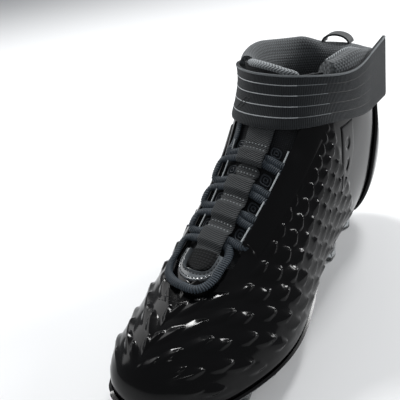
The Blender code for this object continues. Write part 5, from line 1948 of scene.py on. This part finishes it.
    def _collar_section(self) -> Array:
        """Section of the pad through its named points.

        Returns:
            Depths outside the last and heights over the upper's edge.
        """
        inner = -(UPPER_WALL + LINING_GAP + SEAT_GAP)
        pad, depth, roll = self.pad, self.pad_depth, self.roll
        profile = [
            (inner, -depth),
            (inner, -depth * 0.5),
            (inner, SEAT_GAP),
            (inner * 0.6, LINING_GAP),
            (0.0, LINING_GAP),
            (0.15 * MM, roll * 0.45),
            (-pad * 0.25, roll * 0.95),
            (-pad * self.crown, roll * 1.02),
            (-pad * 1.10, roll * 0.45),
            (-pad * 1.30, -depth * 0.12),
            (-pad * 1.17, -depth * 0.45),
            (-pad * 0.82, -depth * 0.85),
            (-pad * 0.58, -depth * 1.02),
            (inner, -depth),
        ]
        values = np.array(profile)
        knots = np.concatenate([[0.0], np.cumsum(np.linalg.norm(np.diff(values, axis=0), axis=1) ** 0.7)])
        smooth = spline_at(knots, values, spline_bends(knots, values), np.linspace(0, knots[-1], 118)[:-1])
        below = smooth[:, 1] < LINING_GAP
        smooth[below, 0] = np.minimum(smooth[below, 0], inner * 0.9)
        return smooth

    def _collar(self, upper: Upper) -> None:
        """Padded mesh collar that caps the upper's top edge.

        Args:
            upper: upper whose edge it caps.
        """
        pad, smooth = self.pad, self._collar_section()
        degrees = np.linspace(52, 308, 331)
        turns = np.radians(degrees)
        heights = np.linspace(0.13, 0.162, 33)
        line, around = SHAFT.places(turns[:, None], heights)
        points = LAST.at(line, around)
        gap = points[..., 2] - upper.collar_height(points)
        first = np.argmax(gap > 0, axis=1)
        rows = np.arange(len(turns))
        share = gap[rows, first - 1] / (gap[rows, first - 1] - gap[rows, first])
        edges = heights[first - 1] + share * (heights[1] - heights[0])
        lift = smooth_step(degrees, 188, 22) * (1 - 0.55 * smooth_step(degrees, 250, 50))
        lift = np.maximum(lift, 0.45 * (1 - smooth_step(degrees, 130, 30)))
        lift = lift + 0.5 * hump(degrees, 88, 22)
        grown = 1.0 + 0.95 * lift[:, None] * smooth_step(smooth[:, 1] / (2 * MM))
        rises = edges[:, None] + smooth[:, 1] * grown
        line, around = SHAFT.places(turns[:, None], rises)
        rings = LAST.at(line, around)
        normals = LAST.normal(line, around)
        fuller = 0.85 * (1 - smooth_step(degrees, 110, 50)) + 0.22 * smooth_step(degrees, 190, 40)
        fuller += 0.75 * hump(degrees, 178, 26)
        within = smooth_step(-smooth[:, 0], 2.0 * MM, 4 * MM)
        within = within * smooth_step(smooth[:, 1], -34 * MM, 20 * MM)
        depths = smooth[:, 0] * (1 + fuller[:, None] * within)
        rings = rings + depths[..., None] * normals
        crown = int(np.argmax(smooth[:, 1])) + 3
        shown = (degrees > 53) & (degrees < 122)
        thick = 3.4 * MM * np.clip(1 - np.abs((degrees[shown] - 87.5) / 35) ** 8, 0.1, 1) ** 0.5
        edge_roll = Piece("collar_edge_roll", KNIT)
        edge_roll.tube(sweep(rings[shown, crown], normals[shown, crown], thick, thick, 20))
        edge_roll.finish()
        u = np.concatenate([[0.0], np.cumsum(np.linalg.norm(np.diff(rings[:, 30], axis=0), axis=1))])
        closed = np.concatenate([rings, rings[:, :1]], axis=1)
        v = grid_lengths(closed)[0, :-1, 1]
        pitch = MESH.pitch * MM
        hexes = np.cos(2 * math.pi * v / pitch / HEX_ROW) * np.ones_like(u)[:, None]
        for slant in (HEX_SLANT, -HEX_SLANT):
            hexes = hexes + np.cos(2 * math.pi * (u[:, None] + slant * v) / pitch)
        dent = np.clip((hexes - 0.6) / 2.4, 0, 1) * 0.45 * MM
        shown = smooth_step(smooth[:, 1], 0.3 * MM, MM) * (smooth[:, 0] > -0.4 * pad)
        inside = (smooth[:, 0] < -0.35 * pad).astype(float)
        middle = rings.mean(axis=1, keepdims=True)
        away = np.gradient(closed, axis=1)[:, :-1]
        along = np.gradient(rings, axis=0)
        out = np.cross(away, along)
        out /= np.maximum(np.linalg.norm(out, axis=2, keepdims=True), 1e-9)
        if ((rings - middle) * out).sum() < 0:
            out = -out
        rings = rings - out * (dent * np.maximum(inside, shown)[None, :])[..., None]
        Piece("collar_padding", MESH).tube(rings).finish(replaces=("collar_pad",), smooth=80, padded=0.8)

    def _counter(self) -> None:
        """Moulded heel cup with a double rim line."""
        low = LAST.sole + LAST.rise + RIM_HEIGHT + LINING_GAP
        shares = np.linspace(0.0, 1.0, 91)
        heights = low + (self.counter_top - low) * shares
        spans = np.radians(78 + (52 - 78) * shares)
        across = np.linspace(1.0, -1.0, 181)
        turns = math.pi + spans[:, None] * across
        height = np.broadcast_to(heights[:, None], turns.shape)
        line, around = SHAFT.places(turns, height)
        gap = LAYER_GAP + SEAT_GAP
        to_edge = (1 - np.abs(across)) * 60 * MM
        to_top = (1 - shares) * (self.counter_top - low)
        near = np.minimum(to_edge[None, :], to_top[:, None])
        bead = 0.5 * MM * hump(near, 1.6 * MM, 0.9 * MM)
        bead += 0.4 * MM * hump(near, 6.5 * MM, 0.9 * MM)
        edge = 0.8 * MM * hump(near, 0.0, 0.5 * MM)
        high = LAST.raised(line, around, gap + 1.5 * MM + bead - edge)
        inner = LAST.raised(line, around, gap)
        Piece("heel_cup", MOULDED).slab(high, inner).finish(replaces=("heel_counter",))

    def _rear_panel(self) -> None:
        """Smooth film panel behind the scales on each side, with two slots."""
        for name, side in (("rear_panel_outer", 1), ("rear_panel_inner", -1)):
            heights = np.linspace(77, 121, 61) * MM
            fore = np.radians(np.interp(heights / MM, [77, 118], [45, 50.5]))
            rear = np.radians(np.interp(heights / MM, [77, 86, 99, 121], [47, 56, 65.5, 69]))
            shares = np.linspace(0.0, 1.0, 41)
            turns = side * (fore[:, None] + (rear - fore)[:, None] * shares)
            height = np.broadcast_to(heights[:, None], turns.shape)
            line, around = SHAFT.places(turns, height)
            border = np.maximum(np.abs(shares * 2 - 1)[None, :], np.abs(np.linspace(-1, 1, 61))[:, None])
            rise = 0.75 * MM - 0.5 * MM * border**14
            for slot_height, slot_share in ((107, 0.42), (92.5, 0.44)):
                dy = (heights[:, None] / MM - slot_height) / 3.6 - (shares - slot_share) * 0.8
                dx = (shares - slot_share) / 0.16
                rise = rise - 0.9 * MM * np.exp(-((dx**2 + dy**2) ** 2))
            high = LAST.raised(line, around, rise)
            low = LAST.raised(line, around, -0.3 * MM)
            Piece(name, COATED).slab(high, low).finish()

    def _pull_loop(self) -> None:
        """Low webbing arch on the collar's back edge."""
        low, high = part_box("pull_loop")
        low, high = np.array(low) - SHIFT, np.array(high) - SHIFT
        tilt = 4 * MM / LAST.shaft
        steps = np.linspace(0.0, math.pi, 49)
        width = np.linspace(0.0, 1.0, 13)
        skins = []
        for trim in (1.6 * MM, 0.0):
            x = ((high[0] - low[0]) / 2 - trim) * np.cos(steps)
            z = low[2] + 12 * MM * tilt - tilt * x + (7.5 * MM - trim) * np.sin(steps)
            grid = np.empty((len(width), len(steps), 3))
            grid[..., 0], grid[..., 2] = x, z
            grid[..., 1] = low[1] + (high[1] - low[1]) * width[:, None]
            skins.append(grid)
        Piece("heel_loop", LOOP).slab(skins[1], skins[0]).finish(replaces=("pull_loop",))


@dataclass
class Studio:
    """Camera, lights and floor."""

    place: tuple[float, float, float] = (0.1919, -0.29816, 0.27975)
    right: tuple[float, float, float] = (0.8158, 0.5563, -0.1581)
    up: tuple[float, float, float] = (-0.1521, 0.47, 0.8694)
    back: tuple[float, float, float] = (0.558, -0.6852, 0.468)
    lens: float = 52.49
    floor_colour: str = "#e4e5e6"
    world_strength: float = 0.34
    lights: tuple = (
        ("left_box", (-0.80, 0.50, 1.20), 0.05, (0.24, 0.24), 11.5),
        ("top_box", (0.10, 0.85, 1.35), 0.05, (0.26, 0.26), 9.0),
        ("rear_box", (0.75, 1.40, 0.75), 0.08, (0.36, 0.36), 13.0),
        ("side_box", (1.10, 0.95, 1.00), 0.08, (0.28, 0.28), 6.0),
        ("front_box", (0.75, -1.25, 0.95), 0.08, (0.18, 0.18), 1.3),
        ("wide_box", (-1.55, -0.05, 1.10), 0.05, (1.30, 0.90), 10.0),
    )

    def build(self) -> None:
        """Set the stage."""
        camera_data = bpy.data.cameras.new("camera")
        camera_data.lens = self.lens
        camera_data.sensor_width = 36.0
        camera_data.clip_start = 0.01
        camera = new_object("camera", camera_data)
        columns = Matrix((self.right, self.up, self.back)).transposed()
        camera.matrix_world = Matrix.Translation(Vector(self.place) + Vector(SHIFT)) @ columns.to_4x4()
        bpy.context.scene.camera = camera
        self._floor()
        for light in self.lights:
            self._light(*light)
        world = bpy.data.worlds.new("studio")
        world.use_nodes = True
        world.node_tree.nodes["Background"].inputs[0].default_value = (0.95, 0.97, 1.0, 1.0)
        world.node_tree.nodes["Background"].inputs[1].default_value = self.world_strength
        bpy.context.scene.world = world
        bpy.context.scene.view_settings.view_transform = "Standard"

    def _floor(self) -> None:
        """Plain pale flat floor."""
        mesh = bpy.data.meshes.new("floor")
        edit = bmesh.new()
        bmesh.ops.create_grid(edit, x_segments=2, y_segments=2, size=40.0)
        edit.to_mesh(mesh)
        edit.free()
        floor = new_object("floor", mesh)
        material = bpy.data.materials.new("pale_floor")
        material.use_nodes = True
        shader = material.node_tree.nodes["Principled BSDF"]
        shader.inputs["Base Color"].default_value = linear_colour(self.floor_colour)
        shader.inputs["Roughness"].default_value = 0.6
        mesh.materials.append(material)
        floor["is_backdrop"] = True

    def _light(
        self,
        name: str,
        place: tuple[float, float, float],
        aim: float,
        size: tuple[float, float],
        power: float,
    ) -> None:
        """Soft box aimed at a point.

        Args:
            name: its name.
            place: where it stands.
            aim: height over the origin that it faces.
            size: width and height.
            power: watts.
        """
        data = bpy.data.lights.new(name, "AREA")
        data.shape = "RECTANGLE"
        data.size, data.size_y = size
        data.energy = power
        light = new_object(name, data)
        light.location = place
        light.rotation_euler = (Vector(place) - Vector((0.0, 0.0, aim))).to_track_quat("Z", "Y").to_euler()


def main() -> None:
    """Build the looks of the shoe, piece by piece."""
    logging.basicConfig(level=logging.INFO, format="%(message)s")
    Studio().build()
    upper = Upper()
    upper.build()
    Sole().build()
    Lacing().build()
    Ankle().build(upper)
    boxes = [[[float(value) for value in corner] for corner in box] for box in (CAD_BOX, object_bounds())]


if __name__ == "__main__":
    main()
